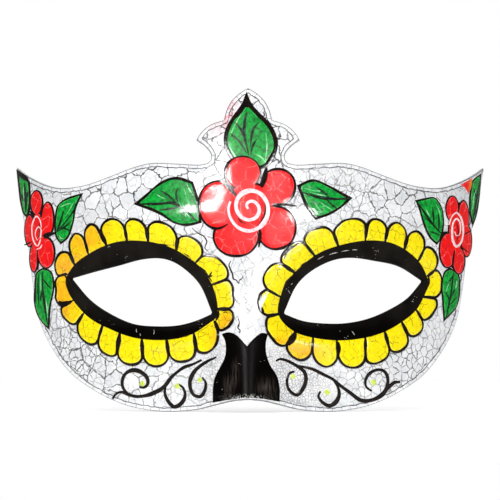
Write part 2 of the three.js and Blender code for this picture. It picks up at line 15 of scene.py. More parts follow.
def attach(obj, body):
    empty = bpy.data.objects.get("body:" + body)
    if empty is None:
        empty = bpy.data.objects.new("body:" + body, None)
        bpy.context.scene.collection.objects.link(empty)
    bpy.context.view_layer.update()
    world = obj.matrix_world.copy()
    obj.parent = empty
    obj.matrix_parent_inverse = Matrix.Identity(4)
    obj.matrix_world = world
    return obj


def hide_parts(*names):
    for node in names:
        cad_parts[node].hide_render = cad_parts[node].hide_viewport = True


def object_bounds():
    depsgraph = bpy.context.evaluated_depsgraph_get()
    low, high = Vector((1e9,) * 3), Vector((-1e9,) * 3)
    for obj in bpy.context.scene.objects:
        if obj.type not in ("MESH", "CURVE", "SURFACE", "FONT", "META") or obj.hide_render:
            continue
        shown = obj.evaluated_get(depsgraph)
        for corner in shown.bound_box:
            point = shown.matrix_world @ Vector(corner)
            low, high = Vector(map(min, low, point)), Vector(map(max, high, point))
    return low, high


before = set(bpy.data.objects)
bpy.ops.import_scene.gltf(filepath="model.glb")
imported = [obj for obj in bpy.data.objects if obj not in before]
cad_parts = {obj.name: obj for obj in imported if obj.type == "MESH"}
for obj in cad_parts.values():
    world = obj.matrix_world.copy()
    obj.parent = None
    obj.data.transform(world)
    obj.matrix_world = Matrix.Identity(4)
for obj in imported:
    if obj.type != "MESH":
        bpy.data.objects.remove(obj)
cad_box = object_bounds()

MM = 0.001

# ---- Driving dimensions ----

SHELL_THICKNESS = 1.6
WRAP_RADIUS = 99.5
LEAN_RADIUS = 250
NOSE = {"height": 16, "bridge": 12, "foot": -34, "narrow": 8, "wide": 13, "rise": 1.4}
SOCKET_DEPTH = 4
SOCKET_WIDTH = 9
BROW = {"x": 40, "z": 40, "across": 26, "up": 9, "height": 2}
CHEEK = {"x": 44, "z": -22, "across": 22, "up": 11, "height": 2.5}
LAYER_GAP = 0.3
LINING_THICKNESS = 1
LINING_INSET = 3
LINING_TOP = 56
TIP_FLARE = 2
FLARE_FOOT = 22
TEMPLE_START = 60
TAB = {"width": 10, "height": 18, "thickness": 1.2, "corner": 2, "x": 83.5, "z": 33}

# Heights of the paint above the form. Motifs that are painted later stand higher.
LEAF_LEVEL = 0.04
ROSE_LEVEL = 0.16
RING_LEVEL = 0.28
BAND_LEVEL = 0.58
INK = 0.1
FILL = 0.2
MARK = 0.27

# ---- Flat geometry ----


def ease(t):
    t = np.clip(t, 0, 1)
    return t * t * (3 - 2 * t)


def nearest(points, outline):
    """Distance from each point to a closed outline, and how far along the outline the nearest place is."""
    best = np.full(len(points), np.inf)
    around = np.zeros(len(points))
    travelled = 0
    for a, b in zip(outline, np.roll(outline, -1, axis=0)):
        along = b - a
        length = max(math.hypot(*along), 1e-6)
        share = np.clip((points - a) @ along / length**2, 0, 1)
        distance = np.hypot(*(points - a - share[:, None] * along).T)
        closer = distance < best
        best[closer] = distance[closer]
        around[closer] = travelled + share[closer] * length
        travelled += length
    return best, around


def inside(points, outline):
    result = np.zeros(len(points), bool)
    x, z = points.T
    for (ax, az), (bx, bz) in zip(outline, np.roll(outline, -1, axis=0)):
        if az != bz:
            crosses = (az > z) != (bz > z)
            result ^= crosses & (x < ax + (z - az) / (bz - az) * (bx - ax))
    return result


def stretch(p0, p1, p2, p3, shares):
    """The stretch from p1 to p2 of a centripetal Catmull-Rom curve."""
    t1 = math.hypot(*(p1 - p0)) ** 0.5
    t2 = t1 + math.hypot(*(p2 - p1)) ** 0.5
    t3 = t2 + math.hypot(*(p3 - p2)) ** 0.5
    t = t1 + (t2 - t1) * shares[:, None]

    def blend(a, b, low, high):
        return ((high - t) * a + (t - low) * b) / (high - low)

    a = blend(p0, p1, 0, t1)
    b = blend(p1, p2, t1, t2)
    c = blend(p2, p3, t2, t3)
    return blend(blend(a, b, 0, t2), blend(b, c, t1, t3), t1, t2)


def spaced(curve, step):
    """The same open curve with its points a step apart."""
    travelled = np.concatenate([[0], np.cumsum(np.hypot(*np.diff(curve, axis=0).T))])
    count = max(3, math.ceil(travelled[-1] / step))
    where = np.linspace(0, travelled[-1], count + 1)
    return np.column_stack([np.interp(where, travelled, curve[:, k]) for k in (0, 1)])


def smooth(points, closed=False, step=0.8):
    """A smooth curve through the given points."""
    p = np.array(points, float)
    if closed:
        p = np.vstack([p[-1], p, p[0], p[1]])
    else:
        p = np.vstack([2 * p[0] - p[1], p, 2 * p[-1] - p[-2]])
    shares = np.linspace(0, 1, 16, endpoint=False)
    parts = [stretch(*p[i : i + 4], shares) for i in range(len(p) - 3)]
    curve = spaced(np.vstack([*parts, p[-2]]), step)
    return curve[:-1] if closed else curve


def cornered(runs, step=0.8):
    """A closed outline of smooth runs that meet at corners."""
    return np.vstack([smooth(run, step=step)[:-1] for run in runs])


def ellipse(x, z, half_width, half_height):
    turn = np.linspace(0, 2 * np.pi, 48, endpoint=False)
    return np.column_stack([x + half_width * np.cos(turn), z + half_height * np.sin(turn)])


def uneven(outline, share):
    """A factor near 1 for each point of an outline, that varies along it as a hand-drawn line does."""
    phase = outline[:, 0] * 0.45 + outline[:, 1] * 0.31
    return 1 + share * np.sin(phase) * np.cos(0.37 * phase + 1)


KEPT_CLEARANCE = 0.93


def grown(outline, amount):
    """The outline moved outwards, or inwards where the amount is negative, without folded stretches."""
    ahead = np.roll(outline, -1, axis=0)
    area = np.sum(outline[:, 0] * ahead[:, 1] - ahead[:, 0] * outline[:, 1])
    along = ahead - np.roll(outline, 1, axis=0)
    along /= np.maximum(np.hypot(*along.T), 1e-6)[:, None]
    out = np.column_stack([along[:, 1], -along[:, 0]]) * np.sign(area)
    moved = outline + out * np.reshape(amount, (-1, 1))
    clearance, _ = nearest(moved, outline)
    return moved[clearance > np.abs(amount) * KEPT_CLEARANCE]


def brush(points, width, ends=0.5, step=0.5):
    """A closed outline of a brush stroke, widest in its middle."""
    run = smooth(points, step=step)
    along = np.gradient(run, axis=0)
    along /= np.hypot(*along.T)[:, None]
    across = np.column_stack([-along[:, 1], along[:, 0]])
    share = np.linspace(0, 1, len(run))
    half = width / 2 * (ends + (1 - ends) * np.sin(np.pi * share)) * uneven(run, 0.18)
    left = run + across * half[:, None]
    right = run - across * half[:, None]
    return np.vstack([left, right[::-1]])


def mirrored(outline):
    return (outline * [-1, 1])[::-1]


# ---- Outlines of the shell and its eye holes ----

HALF_OUTLINE = [
    [(0, -34), (6, -34.7), (13, -36.5), (19.5, -38.3), (26, -39.2), (33.5, -39.5), (43, -38.5),
     (51, -36.5), (61, -32), (72, -24.3), (80, -14), (85, -3.5), (88, 11.5), (90, 27), (93, 42.5),
     (95.5, 59.5)],
    [(95.5, 59.5), (90.5, 56), (82, 52), (76, 50.8), (66, 52), (56.5, 55.2), (45.5, 59.3),
     (39, 60.7), (28, 60.4), (18.5, 60.1), (15.4, 61.3), (14.9, 63.8), (17.5, 67.3), (21, 69.8)],
    [(21, 69.8), (18.7, 73.3), (15, 76.2), (9.8, 78)],
    [(9.8, 78), (8.7, 82), (6.8, 85.6), (3.6, 88.8), (0, 91)],
]

LEFT_EYE = [
    [(-72.7, 14.2), (-62.8, 17), (-53, 19.5), (-43.5, 22), (-36, 22.5), (-30, 21), (-24, 17),
     (-19, 11.5), (-14, 0)],
    [(-14, 0), (-21, -3), (-28, -4.8), (-37, -5.2), (-47, -4.2), (-57.3, 0.2), (-65, 5.5),
     (-72.7, 14.2)],
]

RIGHT_EYE = [
    [(14, 0), (19, 11), (23, 15.5), (29, 19.5), (35.5, 22), (42.5, 22.7), (51.5, 21.5), (61.7, 19.2),
     (71.8, 13.1)],
    [(71.8, 13.1), (65.6, 6.1), (57.9, 1.4), (48.7, -2.3), (39, -4), (30, -4), (22, -3), (14, 0)],
]


def mask_outline(step=1.0):
    tip_x, tip_z = HALF_OUTLINE[0][-1]
    half = np.vstack([cornered(HALF_OUTLINE, step), HALF_OUTLINE[-1][-1]])
    rise = np.maximum(0, half[:, 1] - FLARE_FOOT) / (tip_z - FLARE_FOOT)
    temple = np.maximum(0, half[:, 0] - TEMPLE_START) / (tip_x - TEMPLE_START)
    flared = half + np.column_stack([TIP_FLARE * rise * temple, np.zeros(len(half))])
    return np.vstack([flared, mirrored(half)[1:-1]])


MASK = mask_outline()
EYES = {"left": cornered(LEFT_EYE), "right": cornered(RIGHT_EYE)}
SOCKETS = [cornered(LEFT_EYE, 4), cornered(RIGHT_EYE, 4)]

# ---- The form that every layer follows ----


def swell(place, x, z):
    across = (np.abs(x) - place["x"]) / place["across"]
    up = (z - place["z"]) / place["up"]
    return place["height"] * np.exp(-(across**2) - up**2)


def nose(x, z):
    down = np.maximum(0, (NOSE["bridge"] - z) / (NOSE["bridge"] - NOSE["foot"]))
    half_width = NOSE["narrow"] + (NOSE["wide"] - NOSE["narrow"]) * down
    return NOSE["height"] * down ** NOSE["rise"] * np.exp(-((x / half_width) ** 2))


def socket(x, z):
    points = np.column_stack([x, z])
    depth = np.zeros(len(points))
    for hole in SOCKETS:
        near = np.where(inside(points, hole), 0, nearest(points, hole)[0])
        depth += SOCKET_DEPTH * (1 - ease(near / SOCKET_WIDTH))
    return depth


def form_depth(x, z):
    wrap = WRAP_RADIUS - np.sqrt(WRAP_RADIUS**2 - x**2)
    lean = z**2 / (2 * LEAN_RADIUS)
    return wrap + lean - nose(x, z) - swell(BROW, x, z) - swell(CHEEK, x, z) + socket(x, z)


LINING_OUTER = -(SHELL_THICKNESS + LAYER_GAP)
LINING_INNER = LINING_OUTER - LINING_THICKNESS
SEAT_DEPTH = form_depth(np.zeros(1), np.zeros(1))[0] - LINING_INNER


def form_normals(flat, reach=0.05):
    x, z = flat.T
    slope_x = (form_depth(x + reach, z) - form_depth(x - reach, z)) / (2 * reach)
    slope_z = (form_depth(x, z + reach) - form_depth(x, z - reach)) / (2 * reach)
    normals = np.column_stack([slope_x, -np.ones(len(flat)), slope_z])
    return normals / np.linalg.norm(normals, axis=1)[:, None]


def form_surface(flat):
    """The form's points under the plan points, and its outward normals."""
    x, z = flat.T
    return np.column_stack([x, form_depth(x, z) - SEAT_DEPTH, z]), form_normals(flat)


def unrolled(flat):
    """The plan points as they lie on flat cloth or paint, before it is bent round the wrap."""
    x, z = flat.T
    return np.column_stack([WRAP_RADIUS * np.arcsin(x / WRAP_RADIUS), z])


# ---- Closed sheets bent onto the form ----


HEXAGON_ROW = 0.866
SHARP_EDGE = math.radians(48)


def hexagonal(low, high, step):
    """Points a step apart over a box, every second row moved half a step."""
    rows = np.arange(low[1], high[1], step * HEXAGON_ROW)
    columns = np.arange(low[0], high[0], step)
    return np.array([(x + step / 2 * (j % 2), z) for j, z in enumerate(rows) for x in columns])


def covered(points, outlines, holes):
    result = np.zeros(len(points), bool)
    for outline in outlines:
        result |= inside(points, outline)
    for hole in holes:
        result &= ~inside(points, hole)
    return result


def region(outlines, holes, step, rows):
    """Triangles over what the outlines cover, less the holes: points, triangles and rim edges.

    Rows are extra lines of points that run at those distances inside the rim.
    """
    loops = [*outlines, *holes]
    inner = hexagonal(np.min(np.vstack(outlines), 0), np.max(np.vstack(outlines), 0), step)
    clear = max([0, *rows]) + 0.45 * step
    inner = inner[covered(inner, outlines, holes)]
    for loop in loops:
        inner = inner[nearest(inner, loop)[0] > clear]
    for row in rows:
        lines = np.vstack([*(grown(o, -row) for o in outlines), *(grown(h, row) for h in holes)])
        lines = lines[covered(lines, outlines, holes)]
        for loop in loops:
            lines = lines[nearest(lines, loop)[0] > row * 0.9]
        inner = np.vstack([inner, lines])

    edges = []
    for loop in loops:
        start = len(edges)
        edges += [(start + i, start + (i + 1) % len(loop)) for i in range(len(loop))]
    given = [Vector(p) for p in np.vstack([*loops, inner])]
    found = delaunay_2d_cdt(given, edges, [], 0, 1e-5)
    points = np.array([tuple(v) for v in found[0]])
    triangles = np.array(found[2])
    triangles = triangles[covered(points[triangles].mean(axis=1), outlines, holes)]

    used, triangles = np.unique(triangles, return_inverse=True)
    points = points[used]
    triangles = triangles.reshape(-1, 3)
    sides = np.vstack([triangles[:, [0, 1]], triangles[:, [1, 2]], triangles[:, [2, 0]]])
    known = {tuple(side) for side in sides.tolist()}
    rim = np.array([side for side in known if side[::-1] not in known])
    return points, triangles, rim


def depth_in(points, rim_starts, rim_ends):
    best = np.full(len(points), np.inf)
    for a, b in zip(rim_starts, rim_ends):
        along = b - a
        share = np.clip((points - a) @ along / max(along @ along, 1e-9), 0, 1)
        best = np.minimum(best, np.hypot(*(points - a - share[:, None] * along).T))
    return best


class Sheets:
    """Closed sheets that follow a surface, gathered into one object."""

    def __init__(self, surface=form_surface):
        self.surface = surface
        self.vertices = []
        self.faces = []
        self.face_finish = []
        self.facts = {}
        self.count = 0

    def add(
        self, outlines, top, bottom=0, holes=(), step=1.2, rows=(0.2,), finish=0, back=None, facts=()
    ):
        """A sheet over the outlines. Its top and bottom are heights above the form, in millimetres, or
        functions of the plan points and their depth inside the rim. Facts are more such functions, whose
        values the materials read."""
        points, triangles, rim = region(list(outlines), list(holes), step, rows)
        depth = depth_in(points, points[rim[:, 0]], points[rim[:, 1]])
        places, normals = self.surface(points)
        n = len(points)
        for height in (top, bottom):
            lift = height(points, depth) if callable(height) else np.full(n, height)
            self.vertices.append(places + normals * lift[:, None])
        walls = np.column_stack([rim[:, 1], rim[:, 0], rim[:, 0] + n, rim[:, 1] + n])
        for part in (triangles, triangles[:, ::-1] + n, walls):
            self.faces += (part + self.count).tolist()
        under = finish if back is None else back
        self.face_finish += [finish] * len(triangles) + [under] * len(triangles) + [finish] * len(walls)
        known = {"flat": np.column_stack([unrolled(points), np.zeros(n)]), "depth": depth}
        known.update({name: fact(points) for name, fact in dict(facts).items()})
        for name, values in known.items():
            self.facts.setdefault(name, []).extend([values, values])
        self.count += 2 * n

    def build(self, name, materials, replaced=()):
        mesh = bpy.data.meshes.new(name)
        vertices = np.vstack(self.vertices) * MM
        mesh.from_pydata(vertices.tolist(), [], self.faces)
        for fact, parts in self.facts.items():
            values = np.concatenate(parts)
            kind = "FLOAT_VECTOR" if values.ndim == 2 else "FLOAT"
            attribute = mesh.attributes.new(fact, kind, "POINT")
            attribute.data.foreach_set("vector" if values.ndim == 2 else "value", values.ravel())
        for material in materials:
            mesh.materials.append(material)
        mesh.polygons.foreach_set("material_index", self.face_finish)
        mesh.shade_smooth()
        mesh.set_sharp_from_angle(angle=SHARP_EDGE)
        return placed(bpy.data.objects.new(name, mesh), replaced)


def placed(piece, replaced=()):
    bpy.context.scene.collection.objects.link(piece)
    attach(piece, "root")
    if replaced:
        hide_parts(*replaced)
    return piece


def rounded(base, height, width):
    """The height of a sheet whose rim is rounded over a width and whose middle is at base + height."""

    def top(points, depth):
        inset = np.clip(1 - depth / width, 0, 1)
        return base + height * np.sqrt(1 - 0.92 * inset**2)

    return top


# ---- Materials ----


class Material:
    """A material whose nodes read the facts that the sheets carry. Lengths are in millimetres."""

    def __init__(self, name, **surface):
        self.data = bpy.data.materials.new(name)
        self.data.use_nodes = True
        self.tree = self.data.node_tree
        self.surface = self.tree.nodes["Principled BSDF"]
        for socket, value in surface.items():
            self.surface.inputs[socket.replace("_", " ")].default_value = value
        self.flat = self.fact("flat", "Vector")

    def node(self, kind, inputs, **settings):
        node = self.tree.nodes.new("ShaderNode" + kind)
        for setting, value in settings.items():
            setattr(node, setting, value)
        for socket, value in inputs.items():
            self.feed(node.inputs[socket], value)
        return node

    def feed(self, socket, value):
        if isinstance(value, bpy.types.NodeSocket):
            self.tree.links.new(value, socket)
        else:
            socket.default_value = value

    def height(self):
        """How high up the mask a place is."""
        return self.node("SeparateXYZ", {"Vector": self.flat}).outputs["Y"]

    def fact(self, name, output="Fac"):
        return self.node("Attribute", {}, attribute_name=name).outputs[output]

    def math(self, operation, a, b=0.0, clamp=False):
        return self.node("Math", {0: a, 1: b}, operation=operation, use_clamp=clamp).outputs[0]

    def ramp(self, value, low, high, start=0.0, end=1.0):
        """The value mapped from low..high to start..end, and held at the ends."""
        inputs = {"Value": value, "From Min": low, "From Max": high, "To Min": start, "To Max": end}
        return self.node("MapRange", inputs).outputs["Result"]

    def mix(self, share, a, b, blend="MIX"):
        inputs = {"Factor": share, 6: a, 7: b}
        return self.node("Mix", inputs, data_type="RGBA", blend_type=blend).outputs[2]

    def noise(self, size, detail=2.0, roughness=0.5, vector=None):
        """Cloudy variation from 0 to 1, with blotches of that size."""
        inputs = {
            "Vector": vector or self.flat,
            "Scale": 1 / size,
            "Detail": detail,
            "Roughness": roughness,
        }
        return self.node("TexNoise", inputs, noise_dimensions="2D").outputs["Fac"]

    def shaken(self, size, amount, detail=3.0):
        """The plan position moved about by an amount, in wriggles of that size."""
        inputs = {"Vector": self.flat, "Scale": 1 / size, "Detail": detail, "Roughness": 0.6}
        noise = self.node("TexNoise", inputs, noise_dimensions="2D").outputs["Color"]
        centred = self.node("VectorMath", {0: noise, 1: (0.5, 0.5, 0.5)}, operation="SUBTRACT")
        scaled = self.node("VectorMath", {0: centred.outputs[0], "Scale": amount}, operation="SCALE")
        moved = self.node("VectorMath", {0: self.flat, 1: scaled.outputs[0]}, operation="ADD")
        return moved.outputs[0]

    def cells(self, size, vector, feature="DISTANCE_TO_EDGE"):
        inputs = {"Vector": vector, "Scale": 1 / size}
        return self.node("TexVoronoi", inputs, voronoi_dimensions="2D", feature=feature)

    def crack(self, size, width, vector, patchiness=0.0):
        """Thin lines between cells of that size: 1 on a line and 0 beside it. Also the distance to them."""
        distance = self.cells(size, vector).outputs["Distance"]
        thin, thick = width * (1 - patchiness) / size, width * 1.5 / size
        reach = self.ramp(self.noise(size * 0.9), 0.3, 0.7, thin, thick)
        line = self.ramp(distance, self.math("MULTIPLY", reach, 0.35), reach, 1.0, 0.0)
        return line, distance

    def bump(self, height, distance, strength=1.0, below=None):
        inputs = {"Height": height, "Distance": distance * MM, "Strength": strength}
        if below:
            inputs["Normal"] = below
        return self.node("Bump", inputs).outputs["Normal"]

    def finish(self, color=None, roughness=None, normal=None):
        given = {"Base Color": color, "Roughness": roughness, "Normal": normal, "Coat Normal": normal}
        for socket, value in given.items():
            if value is not None:
                self.feed(self.surface.inputs[socket], value)
        return self.data


def tone(code):
    """The linear colour of a hexadecimal display colour."""
    shares = [int(code[i : i + 2], 16) / 255 for i in (0, 2, 4)]
    return (*(s / 12.92 if s <= 0.04045 else ((s + 0.055) / 1.055) ** 2.4 for s in shares), 1)


RIM_LINE = 1.8
RIM_CRACKS = 3.8
EDGE_ROUND = 0.8
GROOVE = {"depth": 0.14, "width": 0.3}
BEAD = {"height": 0.12, "width": 0.5, "from_edge": 0.9}


def crackle_lacquer():
    """White lacquer with a crackle: large cells, smaller ones inside them, and crazing by the nose."""
    m = Material("crackle_lacquer", Specular_IOR_Level=0.0, Coat_Weight=0.6, Coat_Roughness=0.07)
    wander = m.shaken(2.4, 2.6, 5.0)
    large, from_large = m.crack(6.2, 0.34, wander, 0.5)
    small, _ = m.crack(2.9, 0.22, m.shaken(1.4, 1.3, 4.0), 0.7)
    tiny, _ = m.crack(1.1, 0.16, m.shaken(0.8, 0.5), 0.4)
    coarse = m.fact("coarse")
    large = m.math("MULTIPLY", large, m.ramp(coarse, 0.0, 1.0, 0.12, 1.0))
    patches = m.ramp(m.noise(7.0), 0.4, 0.66, 0.1, 0.7)
    patches = m.math("MULTIPLY", patches, m.ramp(coarse, 0.3, 1.0, 1.0, 0.55))
    small = m.math("MULTIPLY", small, m.math("MAXIMUM", patches, m.fact("small")))
    tiny = m.math("MULTIPLY", tiny, m.ramp(m.fact("tiny"), 0.0, 1.0, 0.0, 0.6))

    edge = m.math("ADD", m.fact("edge"), m.ramp(m.noise(3.0), 0.3, 0.7, -0.22, 0.22))
    from_line = m.math("ABSOLUTE", m.math("SUBTRACT", edge, RIM_LINE))
    rim_line = m.ramp(from_line, 0.1, 0.26, 1.0, 0.0)
    fold = m.ramp(m.math("ABSOLUTE", m.math("SUBTRACT", m.fact("edge"), 0.3)), 0.08, 0.26, 0.8, 0.0)
    across = m.node("TexVoronoi", {"W": m.math("DIVIDE", m.fact("around"), RIM_CRACKS), "Scale": 1.0},
                    voronoi_dimensions="1D", feature="DISTANCE_TO_EDGE").outputs["Distance"]
    in_rim = m.ramp(m.fact("edge"), RIM_LINE - 0.1, RIM_LINE, 1.0, 0.0)
    rungs = m.math("MULTIPLY", m.ramp(across, 0.0, 0.05, 0.7, 0.0), in_rim)
    rim = m.math("MAXIMUM", m.math("MAXIMUM", rim_line, rungs), fold)

    field = m.math("MAXIMUM", m.math("MAXIMUM", large, small), tiny)
    field = m.math("MULTIPLY", field, m.math("SUBTRACT", 1.0, in_rim))
    cracks = m.math("MAXIMUM", field, rim, clamp=True)

    shade = m.cells(6.2, wander, "F1").outputs["Color"]
    lift = m.ramp(m.node("SeparateColor", {"Color": shade}).outputs[0], 0.0, 1.0, 0.0, 0.8)
    body = m.mix(lift, tone("f3f3f5"), tone("dfe1e5"))
    body = m.mix(m.ramp(from_large, 0.02, 0.16, 0.75, 0.0), body, tone("ffffff"))
    body = m.mix(m.ramp(m.noise(11.0, 3.0), 0.45, 0.75, 0.0, 0.5), body, tone("d6dbde"))
    # Painted reflection: a pink tint in the white near the top finial, standing in for red reflected there.
    body = m.mix(m.math("MULTIPLY", m.fact("painted_red_reflection"), m.ramp(m.noise(2.0), 0.35, 0.6)), body, tone("efa9b4"))
    colour = m.mix(m.ramp(cracks, 0.0, 1.0, 0.0, 0.93), body, tone("1c1c1e"))
    roughness = m.ramp(m.noise(1.5, 4.0), 0.2, 0.8, 0.22, 0.42)
    curl = m.ramp(from_large, 0.0, 0.12, 1.0, 0.0)
    relief = m.math("SUBTRACT", m.math("MULTIPLY", curl, 0.25), cracks)
    grain = m.bump(m.noise(0.5, 4.0), 0.03)
    return m.finish(colour, roughness, m.bump(relief, 0.14, 0.8, grain))


def raw_shell():
    """The unpainted inside of the moulding."""
    m = Material("raw_shell")
    colour = m.mix(m.noise(9.0, 4.0), tone("d9d7d2"), tone("ece9e4"))
    speck = m.ramp(m.noise(0.7, 4.0), 0.62, 0.7)
    colour = m.mix(m.math("MULTIPLY", speck, 0.35), colour, tone("b9b5ad"))
    return m.finish(colour, m.ramp(m.noise(3.0), 0.3, 0.7, 0.45, 0.62), m.bump(m.noise(0.9, 5.0), 0.08))


def paint(name, body, deep, light, crack_size=2.6, crack_tone=None, gloss=0.3, brush_size=1.5, depth=0.75):
    """A brushed paint: uneven body colour, a paler line inside its rim, and fine cracks."""
    m = Material(name, Specular_IOR_Level=0.0, Coat_Weight=0.6, Coat_Roughness=0.07)
    strokes = m.noise(brush_size, 4.0, 0.6)
    colour = m.mix(m.ramp(strokes, 0.35, depth), tone(body), tone(deep))
    warm = m.fact("warmth")
    warm = m.math("MULTIPLY", warm, m.ramp(m.noise(3.0), 0.2, 0.6, 0.55, 1.0))
    colour = m.mix(warm, colour, tone("fdb414"))
    pale = m.math("MULTIPLY", m.ramp(m.fact("depth"), 0.12, 0.42, 0.55, 0.0), m.ramp(m.noise(4.0), 0.4, 0.6))
    colour = m.mix(pale, colour, tone(light))
    line, _ = m.crack(crack_size, 0.16, m.shaken(1.2, 1.2, 4.0), 0.8)
    line = m.math("MULTIPLY", line, m.ramp(m.noise(5.0), 0.4, 0.55))
    colour = m.mix(m.math("MULTIPLY", line, 0.8), colour, tone(crack_tone or deep))
    roughness = m.ramp(m.noise(1.2, 3.0), 0.3, 0.7, gloss - 0.06, gloss + 0.1)
    crazing, _ = m.crack(1.5, 0.2, m.shaken(0.9, 0.8, 4.0), 0.6)
    height = m.math("SUBTRACT", strokes, m.math("MAXIMUM", line, m.math("MULTIPLY", crazing, 0.7)))
    return m.finish(colour, roughness, m.bump(height, 0.022, 0.9))


def ink():
    m = Material("outline_ink", Specular_IOR_Level=0.0, Coat_Weight=0.4, Coat_Roughness=0.07)
    colour = m.mix(m.ramp(m.noise(2.4, 3.0), 0.4, 0.75), tone("0a0605"), tone("21130c"))
    return m.finish(colour, m.ramp(m.noise(1.0), 0.3, 0.7, 0.3, 0.45), m.bump(m.noise(0.8, 4.0), 0.04))


def satin_black():
    """The black round the eyes and on the nose: lighter above as painted light from above, with painted
    highlights in streaks, and chipped to the white.
    """
    m = Material("satin_black", Specular_IOR_Level=0.02, Coat_Weight=0.03, Coat_Roughness=0.2)
    # Painted light: the black is mixed lighter towards the top of the mask, as if lit from above, in cloudy
    # patches.
    cloudy = m.ramp(m.noise(12.0, 3.0), 0.3, 0.62, 0.35, 1.0)
    painted_top_light = m.math("MULTIPLY", m.ramp(m.height(), -7.0, 4.0), cloudy)
    colour = m.mix(painted_top_light, tone("030101"), tone("1c1916"))
    # Painted highlights: lighter streaks near the foot of the nose patch, where its gloss would catch the
    # light.
    streaks = m.node("Mapping", {"Vector": m.flat, "Scale": (1.6, 0.16, 1.0)}).outputs["Vector"]
    painted_highlight = m.math("MULTIPLY", m.fact("painted_highlight"), m.ramp(m.noise(1.0, 3.0, vector=streaks), 0.38, 0.68))
    colour = m.mix(painted_highlight, colour, tone("443d38"))
    chips = m.ramp(m.cells(1.6, m.flat, "F1").outputs["Distance"], 0.05, 0.09, 1.0, 0.0)
    chips = m.math("MULTIPLY", chips, m.ramp(m.noise(7.0), 0.66, 0.7))
    chipped = m.math("MULTIPLY", m.fact("chipped"), m.ramp(m.noise(0.9, 3.0), 0.5, 0.56))
    colour = m.mix(m.math("MAXIMUM", chips, chipped, clamp=True), colour, tone("d8d8d4"))
    roughness = m.ramp(m.noise(6.0, 4.0), 0.3, 0.7, 0.3, 0.44)
    return m.finish(colour, roughness, m.bump(m.noise(0.6, 4.0), 0.03))


def felt():
    m = Material("felt_cloth", Sheen_Weight=0.6, Sheen_Roughness=0.6, Specular_IOR_Level=0.1)
    colour = m.mix(m.noise(6.0, 5.0), tone("17161a"), tone("27252b"))
    fibres = m.noise(0.35, 5.0, 0.75)
    colour = m.mix(m.ramp(fibres, 0.62, 0.75, 0.0, 0.5), colour, tone("4a484f"))
    fluff = m.math("ADD", fibres, m.math("MULTIPLY", m.noise(1.6, 3.0), 0.8))
    return m.finish(colour, m.ramp(fibres, 0.3, 0.7, 0.85, 1.0), m.bump(fluff, 0.35))


def ribbon_weave():
    """Grosgrain: close ribs across the tab."""
    m = Material("grosgrain", Sheen_Weight=0.3, Specular_IOR_Level=0.25)
    ribs = m.node("TexWave", {"Vector": m.flat, "Scale": 0.45, "Distortion": 0.4, "Detail": 2.0},
                  bands_direction="Y").outputs["Fac"]
    threads = m.node("TexWave", {"Vector": m.flat, "Scale": 1.1, "Distortion": 0.6}).outputs["Fac"]
    colour = m.mix(ribs, tone("151418"), tone("34323a"))
    colour = m.mix(m.math("MULTIPLY", threads, 0.25), colour, tone("4b4852"))
    height = m.math("ADD", ribs, m.math("MULTIPLY", threads, 0.3))
    return m.finish(colour, m.ramp(m.noise(2.0), 0.3, 0.7, 0.6, 0.8), m.bump(height, 0.18))


def thread():
    m = Material("stitch_thread", Sheen_Weight=0.2)
    colour = m.mix(m.noise(0.6, 3.0), tone("5c5962"), tone("8a8790"))
    return m.finish(colour, m.ramp(m.noise(0.4), 0.3, 0.7, 0.5, 0.7), m.bump(m.noise(0.25, 3.0), 0.05))


def brighter_to_camera(tree, socket, elsewhere, to_camera):
    """Lets the white surround show brighter than the light that it gives."""
    seen = tree.nodes.new("ShaderNodeLightPath")
    strength = tree.nodes.new("ShaderNodeMapRange")
    strength.inputs["To Min"].default_value = elsewhere
    strength.inputs["To Max"].default_value = to_camera
    tree.links.new(seen.outputs["Is Camera Ray"], strength.inputs["Value"])
    tree.links.new(strength.outputs["Result"], socket)


def floor_white():
    m = Material("studio_floor", Roughness=0.7, Specular_IOR_Level=0.1, Emission_Color=(1, 1, 1, 1))
    brighter_to_camera(m.tree, m.surface.inputs["Emission Strength"], 0.2, 0.6)
    place = m.node("TexCoord", {}).outputs["Object"]
    colour = m.mix(m.noise(0.3, 3.0, vector=place), tone("fafafa"), tone("ffffff"))
    return m.finish(colour)


LACQUER = crackle_lacquer()
RAW = raw_shell()
INK_PAINT = ink()
BLACK = satin_black()
YELLOW = paint("petal_yellow", "ffee00", "f6da00", "fff27a", 3.0, "8a6d08")
RED = paint("rose_red", "ff0208", "e60309", "ff7a7e", 5.0, "ff8a86", brush_size=3.0)
GREEN = paint("leaf_green", "00bb3c", "04782a", "7fd890", 2.2, "03350f", brush_size=1.8, depth=0.66)
PALE = paint("swirl_white", "ffe9ea", "ffc4c8", "ffffff", 2.2, "f08a90")
# Pale paint for the scratches in the black bands and for the painted highlight strokes on the right band.
BARE_WHITE_AND_HIGHLIGHT = paint("bare_white_and_highlight", "dcdad4", "b4b0a8", "f4f4f0", 1.5, "8c8880")
PALE_GREEN = paint("leaf_light", "58d27c", "2fbf5c", "d8ffe0", 2.0, "0f8038")
LIME = paint("dot_lime", "dff06a", "c9e23c", "f4ffb0", 1.5, "8aa020")
VEIN = paint("vein_ink", "0a1f10", "04120a", "0c3a1c", 2.0, "000000")

# ---- Shell ----


def blob(x, z, across, up=None):
    """A soft patch of the plan: 1 in its middle, falling to 0."""
    up = up or across
    return lambda p: np.exp(-(((p[:, 0] - x) / across) ** 2) - ((p[:, 1] - z) / up) ** 2)


def total(*patches):
    return lambda p: np.clip(sum(patch(p) for patch in patches), 0, 1)


